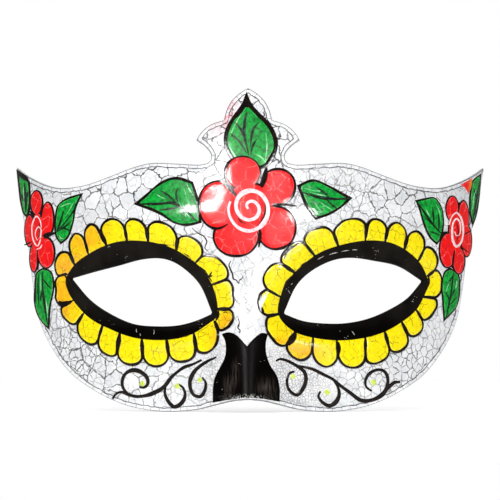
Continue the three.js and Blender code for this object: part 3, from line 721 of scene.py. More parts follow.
def shell_top(points, depth):
    edge, _ = nearest(points, MASK)
    turned = np.clip(1 - depth / EDGE_ROUND, 0, 1)
    groove = GROOVE["depth"] * np.exp(-(((edge - RIM_LINE) / GROOVE["width"]) ** 2))
    bead = BEAD["height"] * np.exp(-(((edge - BEAD["from_edge"]) / BEAD["width"]) ** 2))
    return EDGE_ROUND * (np.sqrt(1 - turned**2) - 1) - groove + bead


def shell_back(points, depth):
    turned = np.clip(1 - depth / EDGE_ROUND, 0, 1)
    return -SHELL_THICKNESS + 0.78 * (1 - np.sqrt(1 - turned**2))


def build_shell():
    facts = {
        "edge": lambda p: nearest(p, MASK)[0],
        "around": lambda p: nearest(p, MASK)[1],
        "coarse": total(blob(-50, 50, 60, 40), blob(-60, -20, 45, 30), blob(0, 70, 25, 30),
                        blob(60, 45, 30, 14)),
        "small": total(blob(66, -22, 34, 20), blob(-70, -15, 16, 20), blob(30, 47, 22, 9)),
        "tiny": total(blob(15, -22, 8, 16), blob(22, -30, 12, 10), blob(-14, -22, 5, 14)),
        # Where the painted red reflection lies, at the top finial.
        "painted_red_reflection": blob(-10, 81, 6, 9),
    }
    sheets = Sheets()
    sheets.add([MASK], shell_top, shell_back, EYES.values(), 1.3, (0.15, 0.45, 0.9, 1.5, 1.8, 2.1, 2.6),
               0, 1, facts)
    return sheets.build("shell", [LACQUER, RAW], ["mask_shell"])


# ---- Lining and ribbon tabs ----


def flat_area(outline):
    x, z = unrolled(outline).T
    return abs(np.sum(x * np.roll(z, -1) - np.roll(x, -1) * z)) / 2


def build_lining():
    def inner(points, depth):
        fluff = 0.12 * np.sin(points[:, 0] * 2.1) * np.sin(points[:, 1] * 2.6 + points[:, 0])
        return LINING_INNER + 0.75 * np.clip(1 - depth / 0.9, 0, 1) ** 2 + fluff * np.clip(depth, 0, 1)

    field = grown(MASK, -LINING_INSET)
    low = field[field[:, 1] < LINING_TOP]
    holes = [grown(eye, LINING_INSET) for eye in EYES.values()]
    sheets = Sheets()
    sheets.add([low], LINING_OUTER, inner, holes, 1.3, (0.35, 0.9))
    lining = sheets.build("lining", [felt()], ["felt_lining"])
    width, length = np.ptp(unrolled(low), axis=0) * MM
    area = (flat_area(low) - sum(flat_area(hole) for hole in holes)) * MM**2


def tab_surface(side):
    """The outer face of a ribbon tab, a flat one that faces the wearer."""
    place = np.array([[side * TAB["x"], TAB["z"]]], float)
    sag = (TAB["width"] ** 2 / WRAP_RADIUS + TAB["height"] ** 2 / LEAN_RADIUS) / 8
    points, normals = form_surface(place)
    inwards = -normals[0]
    middle = points[0] - inwards * (LINING_INNER - LAYER_GAP - sag)
    across = np.cross((0, 0, 1), inwards)
    across /= np.linalg.norm(across)
    up = np.cross(inwards, across)

    def surface(flat):
        places = middle + np.outer(flat[:, 0], across) + np.outer(flat[:, 1], up)
        return places, np.tile(inwards, (len(flat), 1))

    return surface


def rounded_rectangle(width, height, corner):
    turn = np.linspace(0, np.pi / 2, 6)
    arc = corner * np.column_stack([np.cos(turn), np.sin(turn)])
    first = arc + [width / 2 - corner, height / 2 - corner]
    second = first[::-1] * [-1, 1]
    return np.vstack([first, second, -first, -second])


STITCH = {"length": 1.3, "pitch": 1.9, "width": 0.45, "inset": 1.3, "height": 0.28, "sunk": 0.2}
RIB = {"height": 0.05, "pitch": 1.1}


def stitches():
    """Short strokes of thread along a line inside the tab's rim."""
    inset = STITCH["inset"]
    line = rounded_rectangle(TAB["width"] - 2 * inset, TAB["height"] - 2 * inset, 1)
    line = spaced(np.vstack([line, line[0]]), STITCH["pitch"])[:-1]
    for a, b in zip(line, np.roll(line, -1, axis=0)):
        end = a + (b - a) * STITCH["length"] / STITCH["pitch"]
        yield brush([a, (a + end) / 2, end], STITCH["width"], 0.6, 0.3)


def build_tab(name, side, weave, yarn):
    def pad(points, depth):
        ribs = RIB["height"] * np.sin(points[:, 1] * 2 * np.pi / RIB["pitch"])
        return TAB["thickness"] * (0.5 + 0.42 * np.sqrt(1 - np.clip(1 - depth / 0.7, 0, 1) ** 2)) + ribs

    sheets = Sheets(tab_surface(side))
    outline = rounded_rectangle(TAB["width"], TAB["height"], TAB["corner"])
    sheets.add([outline], pad, 0, step=0.5, rows=(0.2, 0.5))
    crest = TAB["thickness"] * 0.92
    for stitch in stitches():
        top = rounded(crest, STITCH["height"], 0.25)
        sheets.add([stitch], top, crest - STITCH["sunk"], step=0.4, rows=(), finish=1)
    sheets.build(name, [weave, yarn], ["ribbon_patch_" + name.split("_")[-1]])


# ---- Leaves ----

# Each leaf: its outline, the motif's own veins, and lighter strokes of paint.
LEAVES = {
    "leaf_top": {
        "outline": [
            [(-0.6, 89.3), (-2.8, 84), (-6.2, 79.3), (-8.8, 74.8), (-9.8, 70), (-9, 65.5), (-5, 60),
             (2, 57)],
            [(2, 57), (8.5, 59.5), (11.2, 64), (12, 68.5), (11, 72.8), (8.6, 76.8), (4.8, 80.6), (1.5, 84.5),
             (-0.6, 89.3)],
        ],
        "rim": 1.7,
        "tip": 7,
        "veins": [
            [(-0.6, 81), (-1.5, 75.5), (-1.4, 71), (0.4, 63.5)],
            [(-5.2, 77), (-3, 74), (-1, 69.5)],
            [(-7, 72.3), (-3.4, 69), (-0.4, 64.3)],
            [(4.6, 77), (2.1, 74), (0.9, 67)],
            [(3.5, 70.2), (2, 67.5), (1, 63.7)],
        ],
        "lights": [
            [(-7.4, 70.5), (-5.6, 75), (-2.8, 80)],
            [(7.2, 72.5), (7.6, 67.5), (7, 61.5)],
            [(2.6, 64), (5, 63), (7.2, 60.6)],
        ],
    },
    "leaf_centre_left": {
        "outline": [
            [(-46, 44), (-40.5, 48.5), (-34.5, 53.3), (-28.5, 55), (-22, 53)],
            [(-22, 53), (-19.5, 45), (-18.5, 36.5)],
            [(-18.5, 36.5), (-24, 35.2), (-29.5, 36.2), (-35.5, 39.8), (-46, 44)],
        ],
        "veins": [
            [(-43.5, 44), (-36, 44), (-30.5, 44.4), (-28, 43.5), (-24, 40.5), (-20.5, 37)],
            [(-35.5, 49.5), (-32, 47.5), (-29, 44.5)],
            [(-35.5, 41.5), (-31.5, 42), (-28, 42.7)],
            [(-28, 50.5), (-28.8, 48), (-28, 44.5)],
        ],
        "lights": [
            [(-28, 46), (-26.5, 42.5), (-23, 38.5)],
            [(-25.5, 50), (-23.7, 44), (-20.3, 38.5)],
            [(-24.5, 52), (-23.3, 49.5), (-21.7, 47)],
            [(-26, 43.3), (-25.2, 41.5), (-25, 39)],
            [(-36.5, 48), (-35, 46.8), (-33, 46)],
        ],
    },
    "leaf_centre_right": {
        "outline": [
            [(19.5, 51.5), (26, 54), (32, 51.8), (42, 46.5)],
            [(42, 46.5), (38, 43), (33.5, 40), (27, 37.6)],
            [(27, 37.6), (23, 43), (19.5, 51.5)],
        ],
        "veins": [
            [(41.5, 46.2), (33.5, 46), (28.5, 46.6), (21.5, 48.7)],
            [(27.5, 50.6), (30.6, 48.5), (32.5, 46.4)],
            [(31.5, 45.6), (33.6, 43.6), (35.6, 42.2)],
        ],
        "lights": [
            [(23, 50.2), (26.5, 49.3), (29.8, 49.2)],
            [(24.6, 48.7), (29, 47.6), (32, 47.2)],
            [(28.5, 45), (31, 43.2), (33.6, 41.6)],
            [(26.6, 44.6), (28, 42.4), (29.8, 40.8)],
        ],
    },
    "leaf_left_tip": {
        "outline": [
            [(-95, 58.7), (-94.2, 52), (-93.2, 45), (-91.6, 40), (-89.6, 38.6)],
            [(-89.6, 38.6), (-88.6, 43), (-88.6, 49), (-89.6, 54.8), (-95, 58.7)],
        ],
        "rim": 0.8,
        "tip": 5,
        "veins": [
            [(-91.2, 53), (-90.6, 47.5), (-90.4, 41)],
            [(-92.4, 48.5), (-91.6, 46.4), (-90.6, 45)],
            [(-89.6, 49.5), (-90, 47.5), (-90.5, 46)],
        ],
        "lights": [[(-91.8, 52), (-91.4, 48), (-91.2, 43)]],
        "shadow": [(-94.6, 58.2), (-92.4, 56), (-89.8, 53.6)],
    },
    "leaf_left_inner": {
        "outline": [
            [(-66.5, 48.7), (-73.5, 46.6), (-77.3, 43.5), (-78.4, 37), (-78, 31), (-75.8, 27.8)],
            [(-75.8, 27.8), (-72.6, 30.5), (-70.5, 36.5), (-69.2, 43), (-66.5, 48.7)],
        ],
        "rim": 0.7,
        "veins": [
            [(-77.3, 33), (-75.6, 37.5), (-74.4, 41.5)],
            [(-77, 33.3), (-73.6, 37), (-70.6, 41), (-67.6, 47.2)],
            [(-77, 33), (-73.6, 35.2), (-71, 37.6)],
            [(-77, 34.6), (-74, 34.3), (-71.6, 33.4)],
        ],
        "lights": [
            [(-75.6, 43), (-73.5, 44), (-71.3, 44.4)],
            [(-73.5, 39.5), (-71.6, 42.5), (-70.2, 45)],
            [(-76.2, 31.4), (-75.4, 30.2), (-74.2, 30.4)],
        ],
    },
    "leaf_left_lower": {
        "outline": [
            [(-80.5, -6.9), (-84.8, -2.5), (-87, 3.6), (-87, 10), (-86, 16.5), (-83, 18.6)],
            [(-83, 18.6), (-79.6, 16.8), (-78.4, 10.5), (-79.8, 3), (-80.5, -6.9)],
        ],
        "rim": 0.65,
        "veins": [
            [(-83.4, 17), (-83, 8.5), (-81.2, -4.5)],
            [(-84.9, 16), (-85.1, 10), (-84.8, 3.5)],
            [(-86.1, 14), (-86.2, 9), (-86, 4)],
            [(-83, 9.5), (-83.7, 7.5), (-84.2, 5)],
            [(-83.2, 14), (-81.6, 12), (-79.4, 9.6)],
        ],
        "lights": [[(-84, 15.5), (-84, 12), (-83.9, 9)], [(-81.8, 6), (-81.3, 2), (-81, -2)]],
    },
    "leaf_right_tip": {
        "outline": [
            [(95.8, 57.5), (92, 54.2), (90.3, 48), (90.3, 41), (91.6, 34.7)],
            [(91.6, 34.7), (93.6, 40), (95, 48), (95.8, 57.5)],
        ],
        "rim": 0.6,
        "veins": [
            [(95, 54.5), (93.2, 46), (91.6, 37.5)],
            [(92, 51), (92.6, 49), (93.2, 46.5)],
            [(94.3, 48.5), (93.2, 46), (92.4, 43.5)],
            [(93.4, 42.8), (92.6, 41), (91.9, 39.2)],
        ],
        "lights": [[(93.4, 51), (92, 47), (91.5, 42)]],
    },
    "leaf_right_inner": {
        "outline": [
            [(67.5, 45.7), (71.5, 46.6), (75.5, 46.9), (78.5, 43.2), (79.5, 37), (78.6, 31), (76.5, 27.6)],
            [(76.5, 27.6), (73.4, 30.4), (70.6, 36.5), (69, 42), (67.5, 45.7)],
        ],
        "rim": 0.65,
        "veins": [
            [(68.2, 45), (73.3, 37.7), (77.3, 33), (79, 31.8)],
            [(74.5, 43), (74.9, 39.5), (75, 35.5)],
            [(71.4, 38.6), (73.8, 36.6), (76.4, 34.2)],
            [(73.2, 33), (75, 32.6), (77.4, 31.6)],
            [(76.9, 40.5), (77.2, 37), (77, 33.5)],
        ],
        "lights": [[(76, 44), (77.4, 41), (78, 37)], [(71.8, 42), (72.8, 40), (73.6, 38.8)]],
    },
    "leaf_right_lower": {
        "outline": [
            [(79.2, -3.6), (78.6, 4), (78.3, 11), (79.6, 17), (82, 18.5)],
            [(82, 18.5), (85.6, 15.8), (86.3, 10), (84.8, 2.5), (79.2, -3.6)],
        ],
        "rim": 0.6,
        "veins": [
            [(83.2, 16.5), (82.2, 8.5), (80.2, -1.5)],
            [(82.8, 15), (81.6, 13), (80.3, 11)],
            [(84.6, 10.5), (83.2, 8.5), (82, 6)],
            [(84.6, 6.5), (83, 4.8), (81.4, 3.2)],
            [(79.8, 8.4), (80.8, 6.8), (81.6, 4.6)],
        ],
        "lights": [[(81.6, 13), (80.6, 10.6), (80, 8.6)], [(84.6, 13.5), (84.4, 11), (84, 9.4)]],
    },
}


VEIN_WIDTH = 1.3
SIDE_VEIN_WIDTH = 0.95
SHADOW_WIDTH = 1.6
LIGHT_WIDTH = 0.4


def build_leaf(name, leaf):
    outline = cornered(leaf["outline"])
    rim = leaf.get("rim", 1.0)
    sheets = Sheets()
    sheets.add([outline], rounded(LEAF_LEVEL, INK, 0.3), finish=0)
    inset = rim * uneven(outline, 0.25)
    if "tip" in leaf:
        tip = outline[0]
        inset = inset + rim * np.clip(1 - np.hypot(*(outline - tip).T) / leaf["tip"], 0, 1)
    top = rounded(LEAF_LEVEL, FILL, 0.5)
    sheets.add([grown(outline, -inset)], top, step=0.9, rows=(0.2, 0.45), finish=1)
    for i, vein in enumerate(leaf["veins"]):
        width = VEIN_WIDTH if i == 0 else SIDE_VEIN_WIDTH
        sheets.add([brush(vein, width * min(rim, 1), 0.3)], LEAF_LEVEL + MARK, step=0.6, rows=(), finish=2)
    if "shadow" in leaf:
        shadow = brush(leaf["shadow"], SHADOW_WIDTH, 0.2)
        sheets.add([shadow], LEAF_LEVEL + MARK, step=0.6, rows=(), finish=0)
    for light in leaf["lights"]:
        sheets.add([brush(light, LIGHT_WIDTH, 0.2)], LEAF_LEVEL + MARK, step=0.5, rows=(), finish=3)
    sheets.build(name + "_paint", [INK_PAINT, GREEN, VEIN, PALE_GREEN], [name])


# ---- Roses ----

# Petals and the heart are ellipses: x, z, half width and half height. Folds are the dark strokes between the
# petals, each with its width. The swirl is the white stroke that winds out of the heart.
ROSES = {
    "centre_rose": {
        "petals": [(-12.2, 43.6, 8, 10), (-4.8, 31.2, 9.4, 8.6), (11.3, 34.4, 8.2, 9), (12, 51, 7.4, 7.6),
                   (-2.2, 56.4, 7.6, 7.2)],
        "heart": (0.4, 42, 11, 11),
        "rim": 0.8,
        "folds": [
            ([(7.4, 58.6), (6.6, 54.6), (5.4, 50.6)], 2.4),
            ([(19.2, 43.2), (14, 43.8), (8.8, 43)], 0.9),
            ([(4.3, 26.6), (4.9, 31.5), (4.1, 35.8)], 1.3),
            ([(-14.6, 34), (-11, 34.4), (-7.8, 36)], 0.9),
            ([(-11.4, 54), (-8, 51), (-4.7, 47.2)], 1.9),
            ([(6.6, 45.6), (7, 42.5), (6.4, 39), (4.6, 36.2)], 0.6),
            ([(-4.2, 38.4), (-2.6, 36.8), (-0.8, 36.2)], 0.5),
        ],
        "swirls": [
            [(0.2, 41.8), (-0.6, 43.5), (0.5, 44.9), (2.4, 44.9), (4.2, 43), (4.4, 40.6), (3, 38.5),
             (0.3, 37.6), (-2.5, 38.7), (-4.3, 41), (-4.8, 43.6), (-4, 46.3), (-2, 48.4), (1.2, 49.3),
             (4.6, 48.3), (7, 45.6), (8, 42.3), (7.4, 38.4), (4.8, 34.8), (0.6, 33.2), (-3.8, 34.5),
             (-6.8, 38), (-7.8, 41.8), (-7, 45.2)],
        ],
        "swirl_width": 1.9,
    },
    "rose_left": {
        "petals": [(-86, 44.8, 2.9, 5.3), (-88.8, 33.5, 2.5, 6.9), (-87, 22.4, 2.1, 6.1),
                   (-81.2, 38, 2.9, 7.3), (-81.8, 24.5, 3.9, 6.5)],
        "heart": (-85.4, 33, 3.5, 8),
        "rim": 0.5,
        "folds": [
            ([(-83.2, 45.4), (-83.6, 42.4), (-84, 39)], 0.7),
            ([(-77.9, 32.6), (-80.4, 32), (-83, 31.2)], 1.5),
            ([(-91, 27.6), (-89.4, 28.2), (-87.6, 29)], 0.6),
            ([(-85.3, 17.6), (-85.2, 21.6), (-85.4, 25.4)], 0.7),
            ([(-88.8, 41.6), (-87.6, 40), (-86.4, 38.2)], 0.6),
            ([(-84.8, 30.4), (-84.2, 33), (-84.6, 36.4)], 0.5),
        ],
        "swirls": [
            [(-84.2, 30.3), (-85, 29.4), (-86.1, 31), (-86, 33.6), (-84.8, 35), (-83.9, 34), (-84, 31.6),
             (-84.3, 29), (-85.3, 27.2), (-86.8, 28.8), (-87.7, 32.6), (-87.4, 36.6), (-85.8, 39.3),
             (-84.4, 37.9), (-83.6, 34.6)],
            [(-83.3, 28), (-84.2, 26.4), (-85.8, 25.9)],
        ],
        "swirl_width": 0.75,
    },
    "rose_right": {
        "petals": [(88.9, 29.4, 2.5, 6.9), (87.6, 38.3, 2.7, 7.7), (82.9, 42.3, 2.9, 5.5),
                   (85.5, 21.2, 2.9, 5.7), (80.8, 25.4, 3.7, 7.3)],
        "heart": (84.4, 33, 3.4, 8.5),
        "rim": 0.45,
        "folds": [
            ([(85.8, 45), (85.5, 42.6), (85.2, 40.6)], 0.6),
            ([(90.8, 33.6), (89, 32.6), (87, 31.6)], 0.5),
            ([(89.8, 24.6), (88, 25.6), (86.4, 27)], 0.5),
            ([(82.8, 18.2), (83, 21.8), (83.6, 25.4)], 0.8),
            ([(77.6, 30.6), (79, 32.4), (80.8, 33)], 0.7),
            ([(84.6, 29.4), (85.2, 33), (84.6, 36.6)], 0.5),
        ],
        "swirls": [
            [(83.6, 33.2), (84.4, 31.4), (85.7, 31.9), (86.2, 34.4), (85.7, 37.2), (84.4, 38.3),
             (83, 36.4), (82.6, 32.8), (83, 29.2), (84.4, 27), (86.2, 28.4), (87.2, 31.6), (87.2, 35.6),
             (86.2, 39), (84.5, 40.7), (82.6, 39.2), (81.4, 35.8)],
        ],
        "swirl_width": 1.05,
    },
}


def build_rose(name, rose):
    petals = [ellipse(*petal) for petal in rose["petals"]]
    heart = ellipse(*rose["heart"])
    rim = rose["rim"]
    fills = [grown(petal, -rim * uneven(petal, 0.35)) for petal in petals]
    sheets = Sheets()
    sheets.add([*petals, heart], rounded(ROSE_LEVEL, INK, 0.3), finish=0)
    sheets.add([*fills, grown(heart, -rim)], rounded(ROSE_LEVEL, FILL, 0.6), 0, (), 1.0, (0.2, 0.5), 1)
    for run, width in rose["folds"]:
        sheets.add([brush(run, width, 0.4)], ROSE_LEVEL + MARK, step=0.5, rows=(), finish=0)
    for swirl in rose["swirls"]:
        stroke = brush(swirl, rose["swirl_width"], 0.55, 0.35)
        sheets.add([stroke], rounded(ROSE_LEVEL, MARK + 0.08, 0.3), step=0.45, rows=(0.2,), finish=2)
    sheets.build(name + "_paint", [INK_PAINT, RED, PALE], [name])


# ---- Eyes: black bands and the petals round them ----

BANDS = {
    "left": [(-73.5, 13.5), (-69.5, 20.2), (-63, 24.7), (-56.5, 27.7), (-50, 29.3), (-43.5, 29.5),
             (-37, 28.7), (-30.5, 26.7), (-24, 23), (-18.5, 18.5), (-14, 11.5), (-11.9, 3.5),
             (-12.5, -1.5), (-15.5, -4), (-21.5, -8), (-28.5, -10.2), (-37, -10.8), (-46.5, -9.7),
             (-56.2, -6.1), (-63.2, -2.4), (-69, 3.2), (-72.5, 8.5)],
    "right": [(11.7, 0.5), (12.8, 7.5), (16.5, 14.5), (22.5, 20.5), (29, 25), (37, 27.8), (45, 29.4),
              (52, 29.5), (58.5, 28.2), (64.5, 25), (69.5, 20.2), (72.3, 13.5), (71, 7), (67.5, 1),
              (61, -4.1), (54.5, -7.6), (47, -9.8), (38, -10.9), (28.5, -10.2), (19.5, -7.9), (14, -3.8)],
}
BANDS = {side: smooth(points, closed=True) for side, points in BANDS.items()}

# Petals clockwise as seen from the front: where each one starts on the band, where it parts from the petal
# before it, and its apex. A petal ends along the side that the next one starts with.
PETALS = {
    "left": [
        ((-73.5, 16), (-77, 15), (-76.5, 24.5)), ((-70, 20), (-72, 24.5), (-70, 32.5)),
        ((-64, 23.5), (-66, 30.5), (-63.5, 36.5)), ((-57, 28), (-59.5, 33.5), (-55.5, 38.5)),
        ((-48.5, 29.5), (-49.5, 35), (-46.5, 38.5)), ((-40, 29.5), (-40.5, 34.5), (-36, 37.5)),
        ((-28.5, 26.5), (-28, 30.5), (-20.5, 30)), ((-20.5, 21), (-18, 23.5), (-9.5, 20.5)),
        ((-13.5, 12), (-8, 14), (-5.5, 7.5)), ((-11.5, 2), (-7, 2), (-5.5, -2.5)),
        ((-13, -3.5), (-11.5, -7), (-15.5, -15.5)), ((-21.5, -8.5), (-20.5, -15), (-25, -19.5)),
        ((-32.5, -11), (-31.5, -17), (-36, -21.5)), ((-42.5, -11), (-42, -18), (-46.5, -21)),
        ((-51.5, -8.5), (-52.5, -16.5), (-56.5, -17)), ((-58.5, -5), (-60.5, -12), (-64.5, -12.5)),
        ((-66.5, -0.5), (-69, -4.5), (-73, -3.5)), ((-71.5, 4.5), (-75.5, 2.5), (-78, 9.5)),
    ],
    "right": [
        ((12.5, 0), (7.5, -1), (3.5, 5)), ((12.5, 7), (7, 10), (7, 17.5)),
        ((18, 17), (13, 20.5), (15.5, 26.5)), ((26.5, 23.5), (22, 29), (27.5, 35)),
        ((36, 27.5), (34, 33), (42, 38.5)), ((47, 29.5), (47.5, 36), (51, 38.5)),
        ((55, 29), (56, 34.5), (60, 37)), ((63, 26.5), (64, 31), (68.5, 33.5)),
        ((69, 22), (71.5, 27), (75.5, 25.5)), ((73, 15.5), (76, 18), (78.5, 11.5)),
        ((71, 6.5), (76, 6), (75.5, 0.5)), ((68, 1), (70.5, -3), (68.5, -9)),
        ((62, -4), (64.5, -9), (62.5, -15)), ((55, -8), (57, -15), (52.5, -20)),
        ((47, -10.5), (47, -19), (42.5, -22)), ((35.5, -10.5), (36, -18), (31, -21.5)),
        ((26, -9.5), (25.5, -16), (21, -19)), ((19, -7), (15, -13), (9.5, -10.5)),
    ],
}
RING_FOOT = 1.4
PETAL_BULGE = 0.17
PETAL_RIM = {"foot": 0.4, "outer": 0.9, "reach": 3}
UNDER_BAND = 1.8
INK_UNDER_BAND = 0.6


def shoulder(a, b):
    """A point out from the middle between two points of a petal, which rounds its outline there."""
    (ax, az), (bx, bz) = a, b
    return (ax + bx) / 2 - PETAL_BULGE * (bz - az), (az + bz) / 2 + PETAL_BULGE * (bx - ax)


def petal_lobes(side):
    """Each petal's outline, from the band round its apex and back to the band."""
    row = PETALS[side]
    for (foot, first, apex), (next_foot, last, _) in zip(row, row[1:] + row[:1]):
        yield smooth([foot, first, shoulder(first, apex), apex, shoulder(apex, last), last, next_foot])


def petal_fill(lobe, band):
    """The yellow part of a petal: inside its black rim, and on under the band."""
    back = (lobe[0] + lobe[-1]) / 2 - lobe[len(lobe) // 2]
    back *= UNDER_BAND / np.hypot(*back)
    outline = np.vstack([lobe, lobe[-1] + back, lobe[0] + back])
    dense = spaced(np.vstack([outline, outline[0]]), 0.8)[:-1]
    away = ease(nearest(dense, band)[0] / PETAL_RIM["reach"])
    rim = PETAL_RIM["foot"] + (PETAL_RIM["outer"] - PETAL_RIM["foot"]) * away
    return grown(dense, -rim * uneven(dense, 0.3))


# Heavier strokes of ink on the petals, each with its width.
PETAL_INK = {
    "left": [
        ([(-76.2, 4.8), (-74.6, 3.7), (-72, 4.6)], 2),
        ([(-15.9, 14.2), (-15, 15.6), (-14.2, 17)], 0.9),
        ([(-15.6, 15.2), (-14.8, 15.1), (-13.9, 15.5)], 0.6),
        ([(-9.8, 0.2), (-8.6, 0.8), (-7.6, 0)], 0.35),
    ],
    "right": [
        ([(5.6, 7.6), (4.8, 4), (6.2, 0.6)], 1.2),
        ([(14.4, 22), (15.6, 25), (20.4, 28.4)], 1.1),
        ([(19.2, -7.8), (18.4, -10), (16.2, -12.6)], 1.3),
        ([(36.2, -11.4), (36.7, -14), (36.3, -16.6)], 0.8),
    ],
}

WARM_PETALS = total(blob(-74, 18, 9, 12), blob(-64, 32, 7, 8), blob(-76, 2, 6, 8), blob(-8, -3, 3, 4),
                    blob(-11.5, -11, 4, 6), blob(14, -13, 6, 5), blob(24, -17, 5, 5))


def build_petals(side):
    lobes = list(petal_lobes(side))
    band = BANDS[side]
    name = "petal_ring_" + side
    sheets = Sheets()
    facts = {"warmth": WARM_PETALS}
    foot = grown(band, RING_FOOT)
    sheets.add([*lobes, foot], rounded(RING_LEVEL, INK, 0.3), 0, [grown(band, -INK_UNDER_BAND)], facts=facts)
    for lobe in lobes:
        top = rounded(RING_LEVEL, FILL, 0.6)
        sheets.add([petal_fill(lobe, band)], top, step=1, rows=(0.2, 0.5), finish=1, facts=facts)
    for run, width in PETAL_INK[side]:
        sheets.add([brush(run, width, 0.3)], RING_LEVEL + MARK, step=0.5, rows=(), facts=facts)
    sheets.build(name + "_paint", [INK_PAINT, YELLOW], [name])


LIP = 0.2
BAND_EDGE = {"fall": 0.55, "width": 0.9}

# Short scratches in the bands that show the white below. The first four on the right band are not scratches
# but a broken pale line of painted highlight along its upper part.
BAND_SCRATCHES_AND_HIGHLIGHTS = {
    "left": [
        [(-44.6, -6.2), (-44.7, -7), (-44.4, -7.8)],
        [(-37.6, -6.6), (-37.4, -7.6), (-37.7, -8.6)],
        [(-43.2, -8.2), (-43, -8.8), (-43.1, -9.3)],
    ],
    "right": [
        [(27.6, 22), (29, 22.8), (30.2, 23.4)],
        [(32.4, 24), (34, 24.5), (35.8, 24.9)],
        [(37.2, 25.2), (39, 25.6), (40.4, 25.7)],
        [(41.6, 25.9), (42.6, 26), (43.6, 25.9)],
        [(15.9, 9.2), (16.2, 8.9), (16.4, 8.5)],
        [(17, 11.8), (17.3, 12.1), (17.5, 12.5)],
        [(65.8, 4.9), (66.1, 4.7), (66.4, 4.4)],
        [(41.6, -7.2), (42, -8), (42.6, -8.8)],
    ],
}
SCRATCH_AND_HIGHLIGHT_WIDTH = 0.24


def build_band(side):
    """The black band, with a lip that covers the cut edge of the eye hole."""
    hole = grown(EYES[side], -LIP)

    def bottom(points, depth):
        at_hole = nearest(points, hole)[0] < LIP / 2
        return np.where(at_hole, -SHELL_THICKNESS - 0.1, 0.1)

    def top(points, depth):
        turned = np.clip(1 - nearest(points, hole)[0] / BAND_EDGE["width"], 0, 1)
        fall = BAND_EDGE["fall"] * (1 - np.sqrt(1 - turned**2))
        return rounded(BAND_LEVEL - 0.1, 0.1, 0.3)(points, depth) - fall

    name = "eye_surround_" + side
    sheets = Sheets()
    sheets.add([BANDS[side]], top, bottom, [hole], 1.2, (0.2, 0.5, 0.9))
    # Pale strokes: scratches to the white, and on the right band's upper part a painted highlight.
    for scratch_or_highlight in BAND_SCRATCHES_AND_HIGHLIGHTS[side]:
        sheets.add([brush(scratch_or_highlight, SCRATCH_AND_HIGHLIGHT_WIDTH, 0.3, 0.3)], BAND_LEVEL + 0.06, step=0.4, rows=(), finish=1)
    sheets.build(name + "_paint", [BLACK, BARE_WHITE_AND_HIGHLIGHT], [name])


# ---- Nose patch, scrolls, dots and the bud at the right tip ----

NOSE_PATCH = [
    [(-14, -35.4), (-14, -30), (-13.2, -25.4), (-11, -21), (-9.3, -17.5), (-8.8, -14), (-9.2, -10.5),
     (-10.5, -8)],
    [(-10.5, -8), (-8, -7.3), (-5.2, -8), (-2.6, -10.3), (-0.4, -12.8)],
    [(-0.4, -12.8), (2.4, -9.7), (5.4, -7.6), (8, -7.9)],
    [(8, -7.9), (7.1, -11.5), (7.3, -16), (8.9, -20.5), (11.5, -24.7), (12.6, -29.5), (12.6, -35)],
    [(12.6, -35), (6.5, -33.9), (0, -33.3), (-7, -34.1), (-14, -35.4)],
]

SCROLLS = {
    "scroll_left_outer": [
        [(-54.5, -34.3), (-53, -32.2), (-51, -31.5), (-48, -32.5), (-44.5, -33.2), (-39.5, -32.4),
         (-34, -29.5), (-30.5, -25.2), (-26, -21.6), (-21.8, -20), (-18.5, -18.4)],
        [(-48, -32.5), (-50.3, -29.5), (-50.3, -26), (-48.5, -23.5), (-46, -22.6), (-43, -23.3),
         (-40.5, -25.6), (-40.2, -28), (-41.6, -29.5), (-43.5, -29.4)],
        [(-33, -28.8), (-33.3, -31.8), (-32, -35), (-29.6, -37.2), (-26.9, -36), (-25.2, -32.8),
         (-26, -29.6), (-28.2, -28)],
    ],
    "scroll_left_inner": [
        [(-12.6, -17.2), (-17, -19.4), (-21, -22.5), (-23.1, -26.4), (-23, -30), (-21.5, -32.5),
         (-19, -33), (-17.2, -30.4), (-17, -27.2), (-18.3, -25.3)],
    ],
    "scroll_right": [
        [(11.1, -18.8), (12.8, -18), (15.6, -18.7), (20, -21.1), (22.5, -23.2), (23.2, -26.2),
         (22.1, -29.7), (19.8, -32.4), (18, -31.9), (16, -29.6), (15.6, -26.2), (16.6, -23.7), (18.5, -23)],
        [(19.5, -20.6), (25.5, -22), (30.5, -24.4), (34, -26.2), (37, -28.7), (41, -31.7), (45, -34.6),
         (47.5, -35), (51, -34.3), (54.6, -31.9), (56.1, -28.5), (56, -25.2), (54.5, -23), (52, -22.5),
         (48.6, -24.1), (47.1, -27), (47.5, -29.4), (49.6, -31)],
        [(34, -26.2), (36.1, -29.5), (36.5, -32.6), (35, -35.6), (32.4, -36.8), (29.9, -35.5),
         (28.2, -33), (29, -31)],
        [(54.6, -31.9), (57, -29.3), (59, -27.7), (61.3, -27.6)],
    ],
}
SCROLL_WIDTH = 1.6

DOTS = [(-42.4, -28), (-28.4, -28.9), (-19.4, -26.4), (18, -25), (31.5, -31.4), (50.4, -27.5)]
DOT_RADIUS = 0.95

BUD = [
    [(86.5, 52.2), (91.6, 55)],
    [(91.6, 55), (91.2, 51.5), (89.9, 48.6)],
    [(89.9, 48.6), (88.6, 50.8), (86.5, 52.2)],
]

